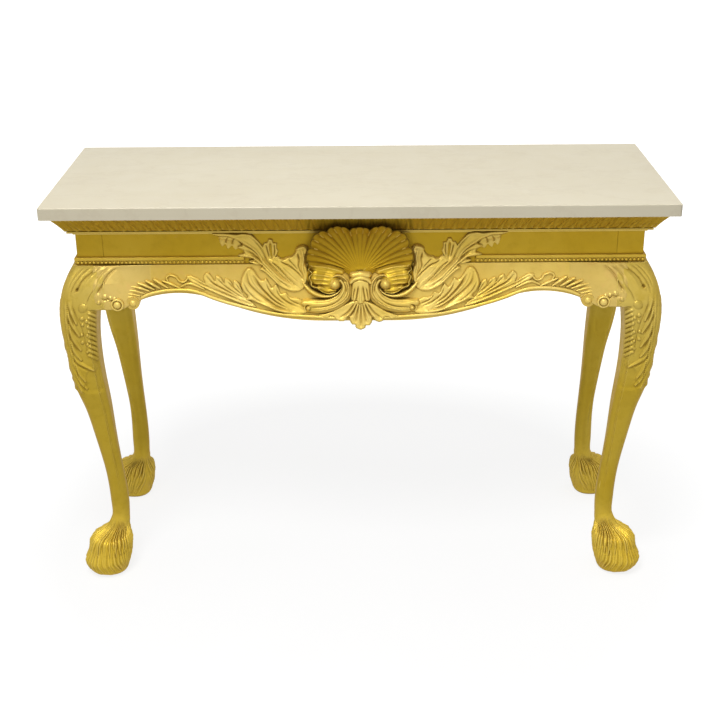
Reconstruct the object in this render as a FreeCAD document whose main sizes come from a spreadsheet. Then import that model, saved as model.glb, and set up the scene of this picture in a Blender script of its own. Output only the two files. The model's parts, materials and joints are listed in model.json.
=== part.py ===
import FreeCAD
import Part
import Sketcher
import math
import os

# A gilded pier table with a loose stone top.
# +X runs along the table, -Y is its front, +Z is up, and the floor is z = 0 under the middle of the stone.

# Driving sizes in millimetres
SIZES = {
    # stone top
    "top_length": 1270,
    "top_depth": 486,
    "top_thick": 25,
    "top_corner_radius": 5,
    "top_arris": 1.5,
    # frame, measured from the edges of the stone to the faces of the frieze
    "table_height": 874,
    "end_overhang": 55,
    "side_overhang": 57,
    "frame_setback": 13,
    "post_width": 55,
    "rail_thick": 28,
    "frieze_height": 115.5,
    "tenon_length": 30,
    "tenon_thick": 10,
    "tenon_shoulder": 16,
    "joint_clearance": 0.3,
    # cornice, from the frieze face outwards and from its foot upwards
    "cornice_height": 50,
    "cornice_stand": 42,
    "cornice_foot": 4,
    "cornice_foot_height": 2,
    "cornice_cove_stand": 10,
    "cornice_cove_height": 3,
    "cornice_cove_radius": 6,
    "cornice_fillet_stand": 14,
    "cornice_fillet_height": 4.5,
    "cornice_leaf_height": 33.5,
    "cornice_leaf_radius": 80,
    # pearl bead along the foot of the frieze
    "bead_height": 16,
    "bead_stand": 5,
    "bead_ground": 2.5,
    "bead_roll": 9,
    "bead_roll_radius": 5,
    # front and back aprons
    "apron_thick": 24,
    "apron_drop": 115,
    "apron_swell": 32,
    "arch_rise": 58,
    "arch_radius": 230,
    "belly_place": 70,
    "apron_volute_inset": 57,
    "apron_volute_drop": 75.5,
    "apron_volute_radius": 13,
    "apron_volute_stand": 7,
    # side aprons
    "side_apron_drop": 85,
    "side_arch_rise": 24,
    # legs
    "knee_drop": 85,
    "knee_stand": 40.5,
    "knee_width": 77.5,
    "knee_lip": 10.5,
    "ankle_height": 150,
    "ankle_set": 16,
    "ankle_width": 39.2,
    "paw_stand": 46.4,
    "paw_width": 102.6,
    "toe_length": 21,
    "toe_half_width": 15,
    "toe_half_height": 21,
    "toe_circle": 32,
    "toe_lift": 2,
    # knee ears
    "ear_length": 43,
    "ear_curve_radius": 120,
    "ear_tip_thick": 3,
    "ear_tip_curve_radius": 260,
    "ear_tip_drop": 78,
    "ear_volute_inset": 26,
    "ear_volute_rise": 9,
    "ear_volute_radius": 13.5,
    "ear_volute_stand": 41,
    # corner blocks, their screws and the battens under the stone
    "block_leg": 60,
    "block_height": 42,
    "block_drop": 22,
    "screw_radius": 2.5,
    "screw_head_radius": 5,
    "screw_head_height": 3,
    "screw_bite": 24,
    "screw_clearance": 0.3,
    "batten_width": 45,
    "batten_height": 30,
    "batten_place": 210,
    # shell
    "shell_radius": 106,
    "shell_hinge_drop": 18.5,
    "shell_hinge_radius": 10,
    "shell_stand": 40,
    "shell_side_stand": 26,
    "shell_dish": 13,
    "shell_hinge_stand": 16,
    "shell_flute_depth": 2,
    "shell_scallop": 1.5,
    "shell_lobe_depth": 5,
    "shell_back_inset": 40,
    "shell_seat_clearance": 2,
    # carved work on each side of the shell: level above the frieze foot or drop below it along the face of
    # the apron, rise, half width and height off the ground
    "spray_level": 3,
    "spray_rise": 40,
    "spray_half_width": 14,
    "spray_height": 17,
    "side_leaf_level": 3,
    "side_leaf_rise": 44,
    "side_leaf_half_width": 12,
    "side_leaf_height": 16,
    "stem_leaf_drop": 50,
    "stem_leaf_rise": 44,
    "stem_leaf_half_width": 16,
    "stem_leaf_height": 16,
    "apron_leaf_clearance": 2,
    "apron_leaf_rise": 47.5,
    "apron_leaf_half_width": 15,
    "apron_leaf_height": 15,
    "tuft_clearance": 0.5,
    "tuft_rise": 4,
    "tuft_half_width": 10,
    "tuft_height": 9,
    "gadroon_drop": 36,
    "gadroon_rise": 17,
    "gadroon_half_width": 13,
    "gadroon_height": 9,
    "horn_start": 66,
    "horn_drop": 58,
    "horn_reach": 50,
    "horn_rise": 13,
    "horn_half_width": 6,
    "horn_height": 13,
    # scrolls, palmettes and the band along the apron's lower edge
    "scroll_start": 47,
    "scroll_drop": 41,
    "scroll_radius": 11.5,
    "scroll_reach": 68,
    "scroll_fall": 52,
    "scroll_half_width": 5,
    "scroll_height": 16,
    "palmette_drop": 42,
    "palmette_fall": 36,
    "palmette_half_width": 15,
    "palmette_height": 18,
    "pendant_drop": 86,
    "pendant_fall": 47,
    "pendant_half_width": 38,
    "pendant_height": 14,
    "band_half_width": 5,
    "band_height": 7,
    "band_edge": 1.5,
    # how far a cut runs past what it cuts
    "overrun": 5,
}

# Leg outline: height between ankle and knee, stand between ankle and knee, width between ankle and knee,
# corner radius against the width
SHAFT_SHARES = (
    (1.0, 1.0, 1.0, 0.24),
    (0.91, 1.026, 1.01, 0.25),
    (0.76, 0.924, 0.838, 0.27),
    (0.604, 0.726, 0.671, 0.30),
    (0.438, 0.409, 0.337, 0.36),
    (0.273, 0.188, 0.138, 0.42),
    (0.103, 0.034, 0.05, 0.46),
    (0.0, 0.0, 0.0, 0.46),
)
# Paw outline: height between floor and ankle, stand and width between ankle and paw, corner radius
PAW_SHARES = (
    (0.807, 0.035, 0.013, 0.46),
    (0.707, 0.176, 0.15, 0.46),
    (0.6, 0.593, 0.595, 0.45),
    (0.46, 0.82, 0.866, 0.44),
    (0.25, 1.0, 1.0, 0.42),
    (0.12, 0.928, 0.84, 0.42),
    (0.0, 0.728, 0.543, 0.42),
)
# Knee block above the ears' underside: height towards the bead, stand between lip and knee
KNEE_SHARES = ((0.0, 1.0), (0.2, 0.933), (0.4, 0.79), (0.6, 0.6), (0.8, 0.3), (1.0, 0.0))
KNEE_CORNER_SHARE = 0.2
TOE_ANGLES = (-60.0, -20.0, 20.0, 60.0)

# Where the carved work starts and how far it reaches, as shares of the field from the shell
# to the apron's end
FIELD_SHARES = {
    "spray": (0.206, 0.251),
    "side_leaf": (0.0385, 0.138),
    "stem_leaf": (0.0385, 0.148),
    "apron_leaf": (0.0237, 0.334),
    "tuft": (0.349, 0.243),
    "gadroon": (0.666, 0.186),
}
ARCH_FIELD_SHARE = 0.642
BEAD_STOP_FIELD_SHARE = 0.315

# Paths of the carved work, as shares of each piece's reach and rise
LEAF_PATH_SHARES = {
    "spray": ((0.0, 0.0), (0.19, 0.4), (0.47, 0.86), (1.0, 1.0)),
    "side_leaf": ((0.0, 0.0), (0.3, 0.45), (0.65, 0.8), (1.0, 1.0)),
    "stem_leaf": ((0.0, 0.0), (0.35, 0.18), (0.7, 0.55), (1.0, 1.0)),
    "apron_leaf": ((0.0, -0.1), (0.336, 0.0), (0.707, 0.37), (1.0, 1.0)),
    "tuft": ((0.0, 0.0), (0.35, 0.0), (0.7, 0.5), (1.0, 1.0)),
    "gadroon": ((0.0, 0.0), (0.5, -0.2), (1.0, -1.0)),
}
LEAF_WIDEST_SHARE = 0.42
BAND_STEP_SHARES = (0.0, 0.2, 0.4, 0.6, 0.8, 1.0)
HORN_PATH_SHARES = ((0.0, 0.0), (0.35, 0.75), (0.7, 0.85), (1.0, 0.55))
SCROLL_PATH_SHARES = ((0.0, 0.42), (0.22, 0.72), (0.6, 0.94), (1.0, 1.0))

SHELL_FLUTES = 27
SHELL_LOBES = 9
SHELL_SPREAD = 98.0
SHELL_SHOULDER_SHARE = 0.2
SHELL_STEPS_PER_FLUTE = 4
SHELL_RINGS = 6
RELIEF_ROWS = 24
RELIEF_COLUMNS = 6
RELIEF_DEGREE = 2
END_SHARE = 0.1
SCROLL_EYE_SHARE = 0.42
SCROLL_STEPS = 7

doc = FreeCAD.newDocument("PierTable")
sheet = doc.addObject("Spreadsheet::Sheet", "Sizes")
for row, (alias, number) in enumerate(SIZES.items(), start=1):
    sheet.set(f"A{row}", alias)
    sheet.set(f"B{row}", str(number))
    sheet.setAlias(f"B{row}", alias)
doc.recompute()


class Size:
    """A length: its present value and the text of the expression that drives it."""

    def __init__(self, text, value):
        self.text = text
        self.value = value

    def __add__(self, other):
        return Size(f"({self.text} + {other.text})", self.value + other.value)

    def __sub__(self, other):
        return Size(f"({self.text} - {other.text})", self.value - other.value)

    def __neg__(self):
        return Size(f"(0 - {self.text})", -self.value)

    def __mul__(self, other):
        if isinstance(other, Size):
            return Size(f"({self.text} * {other.text})", self.value * other.value)
        return Size(f"({self.text} * {other})", self.value * other)

    def __truediv__(self, other):
        if isinstance(other, Size):
            return Size(f"({self.text} / {other.text})", self.value / other.value)
        return Size(f"({self.text} / {other})", self.value / other)

    def root(self):
        return Size(f"sqrt({self.text})", math.sqrt(self.value))


class Sheet:
    """The sizes of the sheet by name."""

    def __getattr__(self, alias):
        return Size(f"Sizes.{alias}", float(sheet.get(alias)))


size = Sheet()
ZERO = Size("0", 0.0)
parts = {}

# Places that several pieces share
rail_top = size.table_height - size.top_thick
frieze_foot = rail_top - size.frieze_height
half_length = size.top_length / 2 - size.end_overhang
half_depth = size.top_depth / 2 - size.side_overhang
front_face = size.frame_setback - half_depth
apron_reach = half_length - size.post_width
carving_field = apron_reach - size.shell_radius
tenon_depth = (size.rail_thick - size.tenon_thick) / 2
tenon_height = size.frieze_height - size.tenon_shoulder * 2
# The aprons lean out from the bead down to the foot of the belly
apron_slope = (size.apron_swell - size.bead_stand) / size.apron_drop


def apron_face(drop):
    """How far the face of an apron stands out from the frieze at a drop below it."""
    return size.bead_stand + apron_slope * drop


def in_field(share):
    """A place between the shell's rim and the end of the front apron."""
    return size.shell_radius + carving_field * share


def vector(x, y, z=0.0):
    return FreeCAD.Vector(x, y, z)


def bind(thing, name, length):
    thing.setExpression(name, length.text)


def place(thing, x, y, z=ZERO, turn=0.0):
    """Stand a piece at a place of the frame, turned about the vertical."""
    rotation = FreeCAD.Rotation(vector(0, 0, 1), turn)
    thing.Placement = FreeCAD.Placement(vector(x.value, y.value, z.value), rotation)
    bind(thing, "Placement.Base.x", x)
    bind(thing, "Placement.Base.y", y)
    bind(thing, "Placement.Base.z", z)


def keep(thing, label):
    """Name a document object as one of the table's pieces."""
    thing.Label = label
    parts[label] = thing
    return thing


def new_body(label):
    return keep(doc.addObject("PartDesign::Body", label), label)


def new_sketch(body, name, role, offset=ZERO):
    """A sketch on one of the body's own planes, moved along that plane's normal."""
    sketch = body.newObject("Sketcher::SketchObject", name)
    plane = next(item for item in body.Origin.OriginFeatures if item.Role == role)
    sketch.AttachmentSupport = [(plane, "")]
    sketch.MapMode = "FlatFace"
    bind(sketch, "AttachmentOffset.Base.z", offset)
    return sketch


def arc_between(start, end, radius, turn):
    """The shorter arc from start to end; turn is 1 for counter-clockwise and -1 for clockwise."""
    chord = end - start
    across = vector(-chord.y, chord.x).normalize()
    back = math.sqrt(max(radius ** 2 - (chord.Length / 2) ** 2, 0.0))
    centre = (start + end) * 0.5 + across * (turn * back)
    first, last = (start, end) if turn > 0 else (end, start)
    low = math.atan2(first.y - centre.y, first.x - centre.x)
    high = math.atan2(last.y - centre.y, last.x - centre.x)
    return Part.ArcOfCircle(Part.Circle(centre, vector(0, 0, 1), radius), low, high)


def outline(sketch, corners):
    """A closed outline. A corner is x, y and the bend of the edge that leaves it, None or radius and turn."""
    base = sketch.GeometryCount
    count = len(corners)
    ends = []
    rules = []
    driven = []
    for index, (x, y, bend) in enumerate(corners):
        after = corners[(index + 1) % count]
        start = vector(x.value, y.value)
        end = vector(after[0].value, after[1].value)
        if bend is None:
            sketch.addGeometry(Part.LineSegment(start, end), False)
            ends.append((1, 2))
        else:
            radius, turn = bend
            sketch.addGeometry(arc_between(start, end, radius.value, turn), False)
            ends.append((1, 2) if turn > 0 else (2, 1))
    for index, (x, y, bend) in enumerate(corners):
        after = (index + 1) % count
        joint = (base + index, ends[index][1], base + after, ends[after][0])
        rules.append(Sketcher.Constraint("Coincident", *joint))
        driven.append((len(rules), x))
        rules.append(Sketcher.Constraint("DistanceX", -1, 1, base + index, ends[index][0], x.value))
        driven.append((len(rules), y))
        rules.append(Sketcher.Constraint("DistanceY", -1, 1, base + index, ends[index][0], y.value))
        if bend is not None:
            driven.append((len(rules), bend[0]))
            rules.append(Sketcher.Constraint("Radius", base + index, bend[0].value))
    earlier = sketch.ConstraintCount
    sketch.addConstraint(rules)
    for index, length in driven:
        bind(sketch, f"Constraints[{earlier + index}]", length)


def rectangle(sketch, x_low, x_high, y_low, y_high):
    corners = ((x_low, y_low), (x_high, y_low), (x_high, y_high), (x_low, y_high))
    outline(sketch, [(x, y, None) for x, y in corners])


def rounded_rectangle(sketch, x_low, x_high, y_low, y_high, radius):
    bend = (radius, 1)
    outline(sketch, [
        (x_low + radius, y_low, None),
        (x_high - radius, y_low, bend),
        (x_high, y_low + radius, None),
        (x_high, y_high - radius, bend),
        (x_high - radius, y_high, None),
        (x_low + radius, y_high, bend),
        (x_low, y_high - radius, None),
        (x_low, y_low + radius, bend),
    ])


def circle(sketch, x, y, radius):
    ring = sketch.addGeometry(Part.Circle(vector(x.value, y.value), vector(0, 0, 1), radius.value), False)
    rules = (("DistanceX", x), ("DistanceY", y))
    for kind, length in rules:
        index = sketch.addConstraint(Sketcher.Constraint(kind, -1, 1, ring, 3, length.value))
        bind(sketch, f"Constraints[{index}]", length)
    index = sketch.addConstraint(Sketcher.Constraint("Radius", ring, radius.value))
    bind(sketch, f"Constraints[{index}]", radius)


def pad(body, sketch, length, reverse=False):
    feature = body.newObject("PartDesign::Pad", f"{sketch.Name}_pad")
    feature.Profile = sketch
    feature.Reversed = reverse
    bind(feature, "Length", length)
    return feature


def cut_through(body, sketch, reverse=False):
    feature = body.newObject("PartDesign::Pocket", f"{sketch.Name}_cut")
    feature.Profile = sketch
    feature.Type = "ThroughAll"
    feature.Reversed = reverse
    return feature


def loft(body, sketches):
    feature = body.newObject("PartDesign::AdditiveLoft", f"{sketches[0].Name}_loft")
    feature.Profile = sketches[0]
    feature.Sections = sketches[1:]
    return feature


def box(body, kind, name, low, high):
    """A box of a body between two corners, added or taken away."""
    feature = body.newObject(f"PartDesign::{kind}Box", name)
    for side, axis, near, far in zip(("Length", "Width", "Height"), "xyz", low, high):
        bind(feature, side, far - near)
        bind(feature, f"Placement.Base.{axis}", near)
    return feature


def mirrored(source, label, normal, x=ZERO, y=ZERO):
    """The mirror image of a piece across an upright plane through x, y."""
    twin = doc.addObject("Part::Mirroring", label)
    twin.Source = source
    twin.Normal = normal
    bind(twin, "Base.x", x)
    bind(twin, "Base.y", y)
    return keep(twin, label)


def twin_across(source, label):
    """The right-hand twin of a left-hand piece."""
    return mirrored(source, label, vector(1, 0, 0))


def twin_behind(source, label):
    """The back twin of a front piece."""
    return mirrored(source, label, vector(0, 1, 0), y=size.frame_setback)


def stand_on_side(body, side):
    """Put a piece drawn for the front, with its face on y = 0, on one side of the frame."""
    spots = {
        "front": (ZERO, front_face, 0.0),
        "right": (half_length, size.frame_setback, 90.0),
        "back": (ZERO, size.frame_setback + half_depth, 180.0),
        "left": (-half_length, size.frame_setback, 270.0),
    }
    x, y, turn = spots[side]
    place(body, x, y, turn=turn)


def half_span(side):
    return half_length if side in ("front", "back") else half_depth


def make_stone_top():
    body = new_body("stone_top")
    sketch = new_sketch(body, "stone_outline", "XY_Plane", rail_top)
    half_x = size.top_length / 2
    half_y = size.top_depth / 2
    rounded_rectangle(sketch, -half_x, half_x, -half_y, half_y, size.top_corner_radius)
    slab = pad(body, sketch, size.top_thick)
    doc.recompute()
    top = max(range(len(slab.Shape.Faces)), key=lambda item: slab.Shape.Faces[item].CenterOfMass.z)
    arris = body.newObject("PartDesign::Chamfer", "stone_arris")
    arris.Base = (slab, [f"Face{top + 1}"])
    bind(arris, "Size", size.top_arris)


def mitre(body, name, half, stand, ends):
    """Cut a moulding at 45 degrees where it turns a corner of the frame."""
    sketch = new_sketch(body, name, "XY_Plane")
    reach = stand + size.overrun
    for end in ends:
        corners = [
            ((half - size.overrun) * end, size.overrun, None),
            ((half + reach) * end, -reach, None),
            ((half + reach) * end, size.overrun, None),
        ]
        outline(sketch, corners if end > 0 else corners[::-1])
    cut_through(body, sketch, reverse=True)


def moulding(label, side, profile, stand, left, right, ends):
    """A length of moulding from left to right along one side, mitred at the given ends."""
    body = new_body(label)
    sketch = new_sketch(body, f"{label}_profile", "YZ_Plane", left)
    outline(sketch, profile)
    pad(body, sketch, right - left)
    mitre(body, f"{label}_mitre", half_span(side), stand, ends)
    stand_on_side(body, side)


def make_cornice():
    foot = rail_top - size.cornice_height
    cove_start = foot + size.cornice_foot_height
    cove_end = cove_start + size.cornice_cove_height
    fillet_end = cove_end + size.cornice_fillet_height
    leaf_end = fillet_end + size.cornice_leaf_height
    profile = [
        (ZERO, foot, None),
        (ZERO, rail_top, None),
        (-size.cornice_stand, rail_top, None),
        (-size.cornice_stand, leaf_end, (size.cornice_leaf_radius, 1)),
        (-size.cornice_fillet_stand, fillet_end, None),
        (-size.cornice_fillet_stand, cove_end, None),
        (-size.cornice_cove_stand, cove_end, (size.cornice_cove_radius, -1)),
        (-size.cornice_foot, cove_start, None),
        (-size.cornice_foot, foot, None),
    ]
    for side in ("front", "right", "back", "left"):
        reach = half_span(side) + size.cornice_stand
        moulding(f"cornice_{side}", side, profile[::-1], size.cornice_stand, -reach, reach, (-1, 1))


def make_beads():
    roll_end = frieze_foot + size.bead_roll
    bead_top = frieze_foot + size.bead_height
    profile = [
        (ZERO, frieze_foot, None),
        (-size.bead_ground, frieze_foot, (size.bead_roll_radius, -1)),
        (-size.bead_ground, roll_end, None),
        (-size.bead_stand, roll_end, None),
        (-size.bead_stand, bead_top, None),
        (ZERO, bead_top, None),
    ]
    corner = half_length + size.bead_stand
    stop = in_field(BEAD_STOP_FIELD_SHARE)
    moulding("bead_front_left", "front", profile, size.bead_stand, -corner, -stop, (-1,))
    moulding("bead_front_right", "front", profile, size.bead_stand, stop, corner, (1,))
    for side in ("right", "back", "left"):
        reach = half_span(side) + size.bead_stand
        moulding(f"bead_{side}", side, profile, size.bead_stand, -reach, reach, (-1, 1))


def make_rails():
    tenon_low = frieze_foot + size.tenon_shoulder
    for side in ("front", "right", "back", "left"):
        body = new_body(f"frieze_rail_{side}")
        reach = half_span(side) - size.post_width
        tip = reach + size.tenon_length
        box(body, "Additive", f"rail_{side}", (-reach, ZERO, frieze_foot), (reach, size.rail_thick, rail_top))
        near = (-tip, tenon_depth, tenon_low)
        far = (tip, tenon_depth + size.tenon_thick, tenon_low + tenon_height)
        box(body, "Additive", f"tenons_{side}", near, far)
        stand_on_side(body, side)


def arch_values():
    """The apron's lower edge: arch over the knees, swelling towards the middle."""
    apex_x = in_field(ARCH_FIELD_SHARE)
    belly_z = frieze_foot - size.apron_drop
    apex_z = belly_z + size.arch_rise
    run = apex_x - size.belly_place
    radii = (run * run + size.arch_rise * size.arch_rise) / (size.arch_rise * 2)
    turn_x = apex_x - run * size.arch_radius / radii
    turn_z = apex_z - size.arch_radius + (radii - size.arch_rise) * size.arch_radius / radii
    end_x = apron_reach - size.apron_volute_inset
    end_run = end_x - apex_x
    fall = size.arch_radius - (size.arch_radius * size.arch_radius - end_run * end_run).root()
    return {
        "apex": (apex_x, apex_z),
        "belly_z": belly_z,
        "turn": (turn_x, turn_z),
        "end": (end_x, apex_z - fall),
        "belly_radius": radii - size.arch_radius,
    }


def apron_blank(label, reach, drop):
    """An apron before its lower edge is cut: plumb behind, leaning out in front."""
    body = new_body(label)
    profile = new_sketch(body, f"{label}_profile", "YZ_Plane", -reach)
    outline(profile, [
        (size.apron_thick, frieze_foot, None),
        (-size.bead_stand, frieze_foot, None),
        (-apron_face(drop), frieze_foot - drop, None),
        (size.apron_thick, frieze_foot - drop, None),
    ])
    pad(body, profile, reach * 2)
    return body


def make_long_aprons():
    edge = arch_values()
    turn_x, turn_z = edge["turn"]
    end_x, end_z = edge["end"]
    below = edge["belly_z"] - size.overrun
    beyond = apron_reach + size.overrun
    arch = (size.arch_radius, 1)
    belly = (edge["belly_radius"], -1)
    for side in ("front", "back"):
        label = f"apron_{side}"
        body = apron_blank(label, apron_reach, size.apron_drop)
        waste = new_sketch(body, f"{label}_waste", "XZ_Plane", size.apron_swell + size.overrun)
        for end in (-1, 1):
            turns = {radius: (radius[0], radius[1] * end) for radius in (arch, belly)}
            outline(waste, [
                (size.belly_place * end, below, None),
                (beyond * end, below, None),
                (beyond * end, end_z, None),
                (end_x * end, end_z, turns[arch]),
                (turn_x * end, turn_z, turns[belly]),
                (size.belly_place * end, edge["belly_z"], None),
            ])
        cut_through(body, waste)
        if side == "front":
            seat_shell(body)
        add_apron_volutes(body, label, end_x)
        stand_on_side(body, side)


def seat_shell(body):
    """A plumb seat in the front apron for the foot of the shell."""
    reach = size.shell_radius + size.shell_seat_clearance
    middle = frieze_foot - size.shell_hinge_drop - size.shell_hinge_radius - size.shell_seat_clearance
    ends = middle - reach * math.tan(math.radians(SHELL_SPREAD - 90.0))
    depth = size.apron_swell + size.overrun
    seat = new_sketch(body, "shell_seat", "XZ_Plane", depth)
    outline(seat, [
        (-reach, frieze_foot + size.overrun, None),
        (-reach, ends, None),
        (ZERO, middle, None),
        (reach, ends, None),
        (reach, frieze_foot + size.overrun, None),
    ])
    cut = cut_through(body, seat)
    cut.Type = "Length"
    bind(cut, "Length", depth)


def add_apron_volutes(body, label, place_x):
    front = apron_face(size.apron_volute_drop) + size.apron_volute_stand
    rounds = new_sketch(body, f"{label}_volutes", "XZ_Plane", front)
    for end in (-1, 1):
        circle(rounds, place_x * end, frieze_foot - size.apron_volute_drop, size.apron_volute_radius)
    pad(body, rounds, front + size.apron_thick, reverse=True)


def make_side_aprons():
    reach = half_depth - size.post_width
    end_z = frieze_foot - size.side_apron_drop
    radius = (reach * reach + size.side_arch_rise * size.side_arch_rise) / (size.side_arch_rise * 2)
    for side in ("left", "right"):
        label = f"apron_{side}"
        body = apron_blank(label, reach, size.side_apron_drop)
        waste = new_sketch(body, f"{label}_waste", "XZ_Plane", size.apron_swell + size.overrun)
        outline(waste, [
            (reach, end_z - size.overrun, None),
            (reach, end_z, (radius, 1)),
            (-reach, end_z, None),
            (-reach, end_z - size.overrun, None),
        ])
        cut_through(body, waste)
        stand_on_side(body, side)


def leg_section(body, name, height, stand, width, corner_share):
    """A rounded square across the leg, its outer faces at stand from the faces of the frieze."""
    sketch = new_sketch(body, name, "XY_Plane", height)
    rounded_rectangle(sketch, stand - width, stand, stand - width, stand, width * corner_share)
    return sketch


def between(low, high, share):
    return low + (high - low) * share


def make_leg_shaft(body):
    knee_z = frieze_foot - size.knee_drop
    sections = []
    for number, (rise, stand, width, corner) in enumerate(SHAFT_SHARES):
        sections.append(leg_section(
            body, f"shaft_section_{number}", between(size.ankle_height, knee_z, rise),
            between(-size.ankle_set, size.knee_stand, stand),
            between(size.ankle_width, size.knee_width, width), corner))
    for number, (rise, stand, width, corner) in enumerate(PAW_SHARES):
        sections.append(leg_section(
            body, f"paw_section_{number}", size.ankle_height * rise,
            between(-size.ankle_set, size.paw_stand, stand),
            between(size.ankle_width, size.paw_width, width), corner))
    loft(body, sections)


def make_leg_knee(body):
    """The block that swells out of the post, square but for its outer corner, where the ears run on."""
    knee_z = frieze_foot - size.knee_drop
    inner = -size.post_width
    sections = []
    for number, (rise, stand) in enumerate(KNEE_SHARES):
        outer = between(size.knee_lip, size.knee_stand, stand)
        radius = (outer - inner) * KNEE_CORNER_SHARE
        sketch = new_sketch(body, f"knee_section_{number}", "XY_Plane", between(knee_z, frieze_foot, rise))
        outline(sketch, [
            (inner, inner, None),
            (outer, inner, None),
            (outer, outer - radius, (radius, 1)),
            (outer - radius, outer, None),
            (inner, outer, None),
        ])
        sections.append(sketch)
    loft(body, sections)


def make_leg_toes(body):
    """Four toes spread about the paw's outward diagonal, just clear of the floor."""
    middle = size.paw_stand - size.paw_width / 2
    for number, angle in enumerate(TOE_ANGLES):
        heading = 45.0 + angle
        toe = body.newObject("PartDesign::AdditiveEllipsoid", f"toe_{number}")
        bind(toe, "Radius1", size.toe_half_height)
        bind(toe, "Radius2", size.toe_length)
        bind(toe, "Radius3", size.toe_half_width)
        toe.Placement = FreeCAD.Placement(vector(0, 0), FreeCAD.Rotation(vector(0, 0, 1), heading))
        bind(toe, "Placement.Base.x", middle + size.toe_circle * math.cos(math.radians(heading)))
        bind(toe, "Placement.Base.y", middle + size.toe_circle * math.sin(math.radians(heading)))
        bind(toe, "Placement.Base.z", size.toe_half_height + size.toe_lift)


def screw_hole(body, start, depth, height):
    """A bore towards the post's corner, along the diagonal of the frame's corner."""
    bore = body.newObject("PartDesign::SubtractiveCylinder", "screw_bore")
    bind(bore, "Radius", size.screw_radius + size.screw_clearance)
    bind(bore, "Height", depth)
    bore.Placement = FreeCAD.Placement(vector(0, 0), FreeCAD.Rotation(vector(0, 0, 1), vector(1, 1)))
    bind(bore, "Placement.Base.x", start)
    bind(bore, "Placement.Base.y", start)
    bind(bore, "Placement.Base.z", height)


# The corner block's long face crosses the corner's diagonal here
block_face = -(size.post_width + size.rail_thick + size.block_leg) / 2
block_middle = rail_top - size.block_drop - size.block_height / 2
screw_reach = (-size.post_width - block_face) * math.sqrt(2.0) + size.screw_bite


def make_legs():
    body = new_body("leg_front_left")
    make_leg_shaft(body)
    make_leg_knee(body)
    post = new_sketch(body, "post_outline", "XY_Plane", frieze_foot)
    rectangle(post, -size.post_width, ZERO, -size.post_width, ZERO)
    pad(body, post, size.frieze_height)
    make_leg_toes(body)
    low = frieze_foot + size.tenon_shoulder
    shallow = -tenon_depth
    deep = -tenon_depth - size.tenon_thick
    mouth = -size.post_width - size.overrun
    bottom = size.tenon_length + size.joint_clearance - size.post_width
    box(body, "Subtractive", "long_mortise", (mouth, deep, low), (bottom, shallow, low + tenon_height))
    box(body, "Subtractive", "side_mortise", (deep, mouth, low), (shallow, bottom, low + tenon_height))
    screw_hole(body, block_face, screw_reach + size.screw_clearance, block_middle)
    place(body, -half_length, front_face, turn=180.0)
    twin_across(body, "leg_front_right")
    back = twin_behind(body, "leg_back_left")
    twin_across(back, "leg_back_right")


def make_ears():
    """Blocks that carry each knee's swell sideways into the aprons, ending in a volute."""
    body = new_body("ear_front_left_long")
    foot = frieze_foot - size.knee_drop
    tip_foot = frieze_foot - size.ear_tip_drop
    thick = new_sketch(body, "ear_at_leg", "YZ_Plane", -size.post_width)
    outline(thick, [
        (apron_face(size.knee_drop), foot, None),
        (size.knee_stand, foot, (size.ear_curve_radius, 1)),
        (size.knee_lip, frieze_foot, None),
        (size.bead_stand, frieze_foot, None),
    ])
    thin = new_sketch(body, "ear_at_tip", "YZ_Plane", -size.post_width - size.ear_length)
    outline(thin, [
        (apron_face(size.ear_tip_drop), tip_foot, None),
        (apron_face(size.ear_tip_drop) + size.ear_tip_thick, tip_foot, (size.ear_tip_curve_radius, 1)),
        (size.bead_stand + size.ear_tip_thick, frieze_foot, None),
        (size.bead_stand, frieze_foot, None),
    ])
    loft(body, [thick, thin])
    seat = apron_face(size.knee_drop - size.ear_volute_rise + size.ear_volute_radius)
    roll = new_sketch(body, "ear_volute", "XZ_Plane", -seat)
    middle = -size.post_width - size.ear_volute_inset
    circle(roll, middle, foot + size.ear_volute_rise, size.ear_volute_radius)
    pad(body, roll, size.ear_volute_stand - seat, reverse=True)
    place(body, -half_length, front_face, turn=180.0)
    side = mirrored(body, "ear_front_left_short", vector(1, -1, 0), -half_length, front_face)
    for ear, kind in ((body, "long"), (side, "short")):
        twin_across(ear, f"ear_front_right_{kind}")
        back = twin_behind(ear, f"ear_back_left_{kind}")
        twin_across(back, f"ear_back_right_{kind}")


def make_corner_blocks():
    body = new_body("corner_block_front_left")
    sketch = new_sketch(body, "block_outline", "XY_Plane", block_middle - size.block_height / 2)
    post = -size.post_width
    rail = -size.rail_thick
    far = post - size.block_leg
    outline(sketch, [
        (post, rail, None),
        (far, rail, None),
        (rail, far, None),
        (rail, post, None),
        (post, post, None),
    ])
    pad(body, sketch, size.block_height)
    screw_hole(body, block_face, screw_reach, block_middle)
    place(body, -half_length, front_face, turn=180.0)
    twin_across(body, "corner_block_front_right")
    back = twin_behind(body, "corner_block_back_left")
    twin_across(back, "corner_block_back_right")


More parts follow.
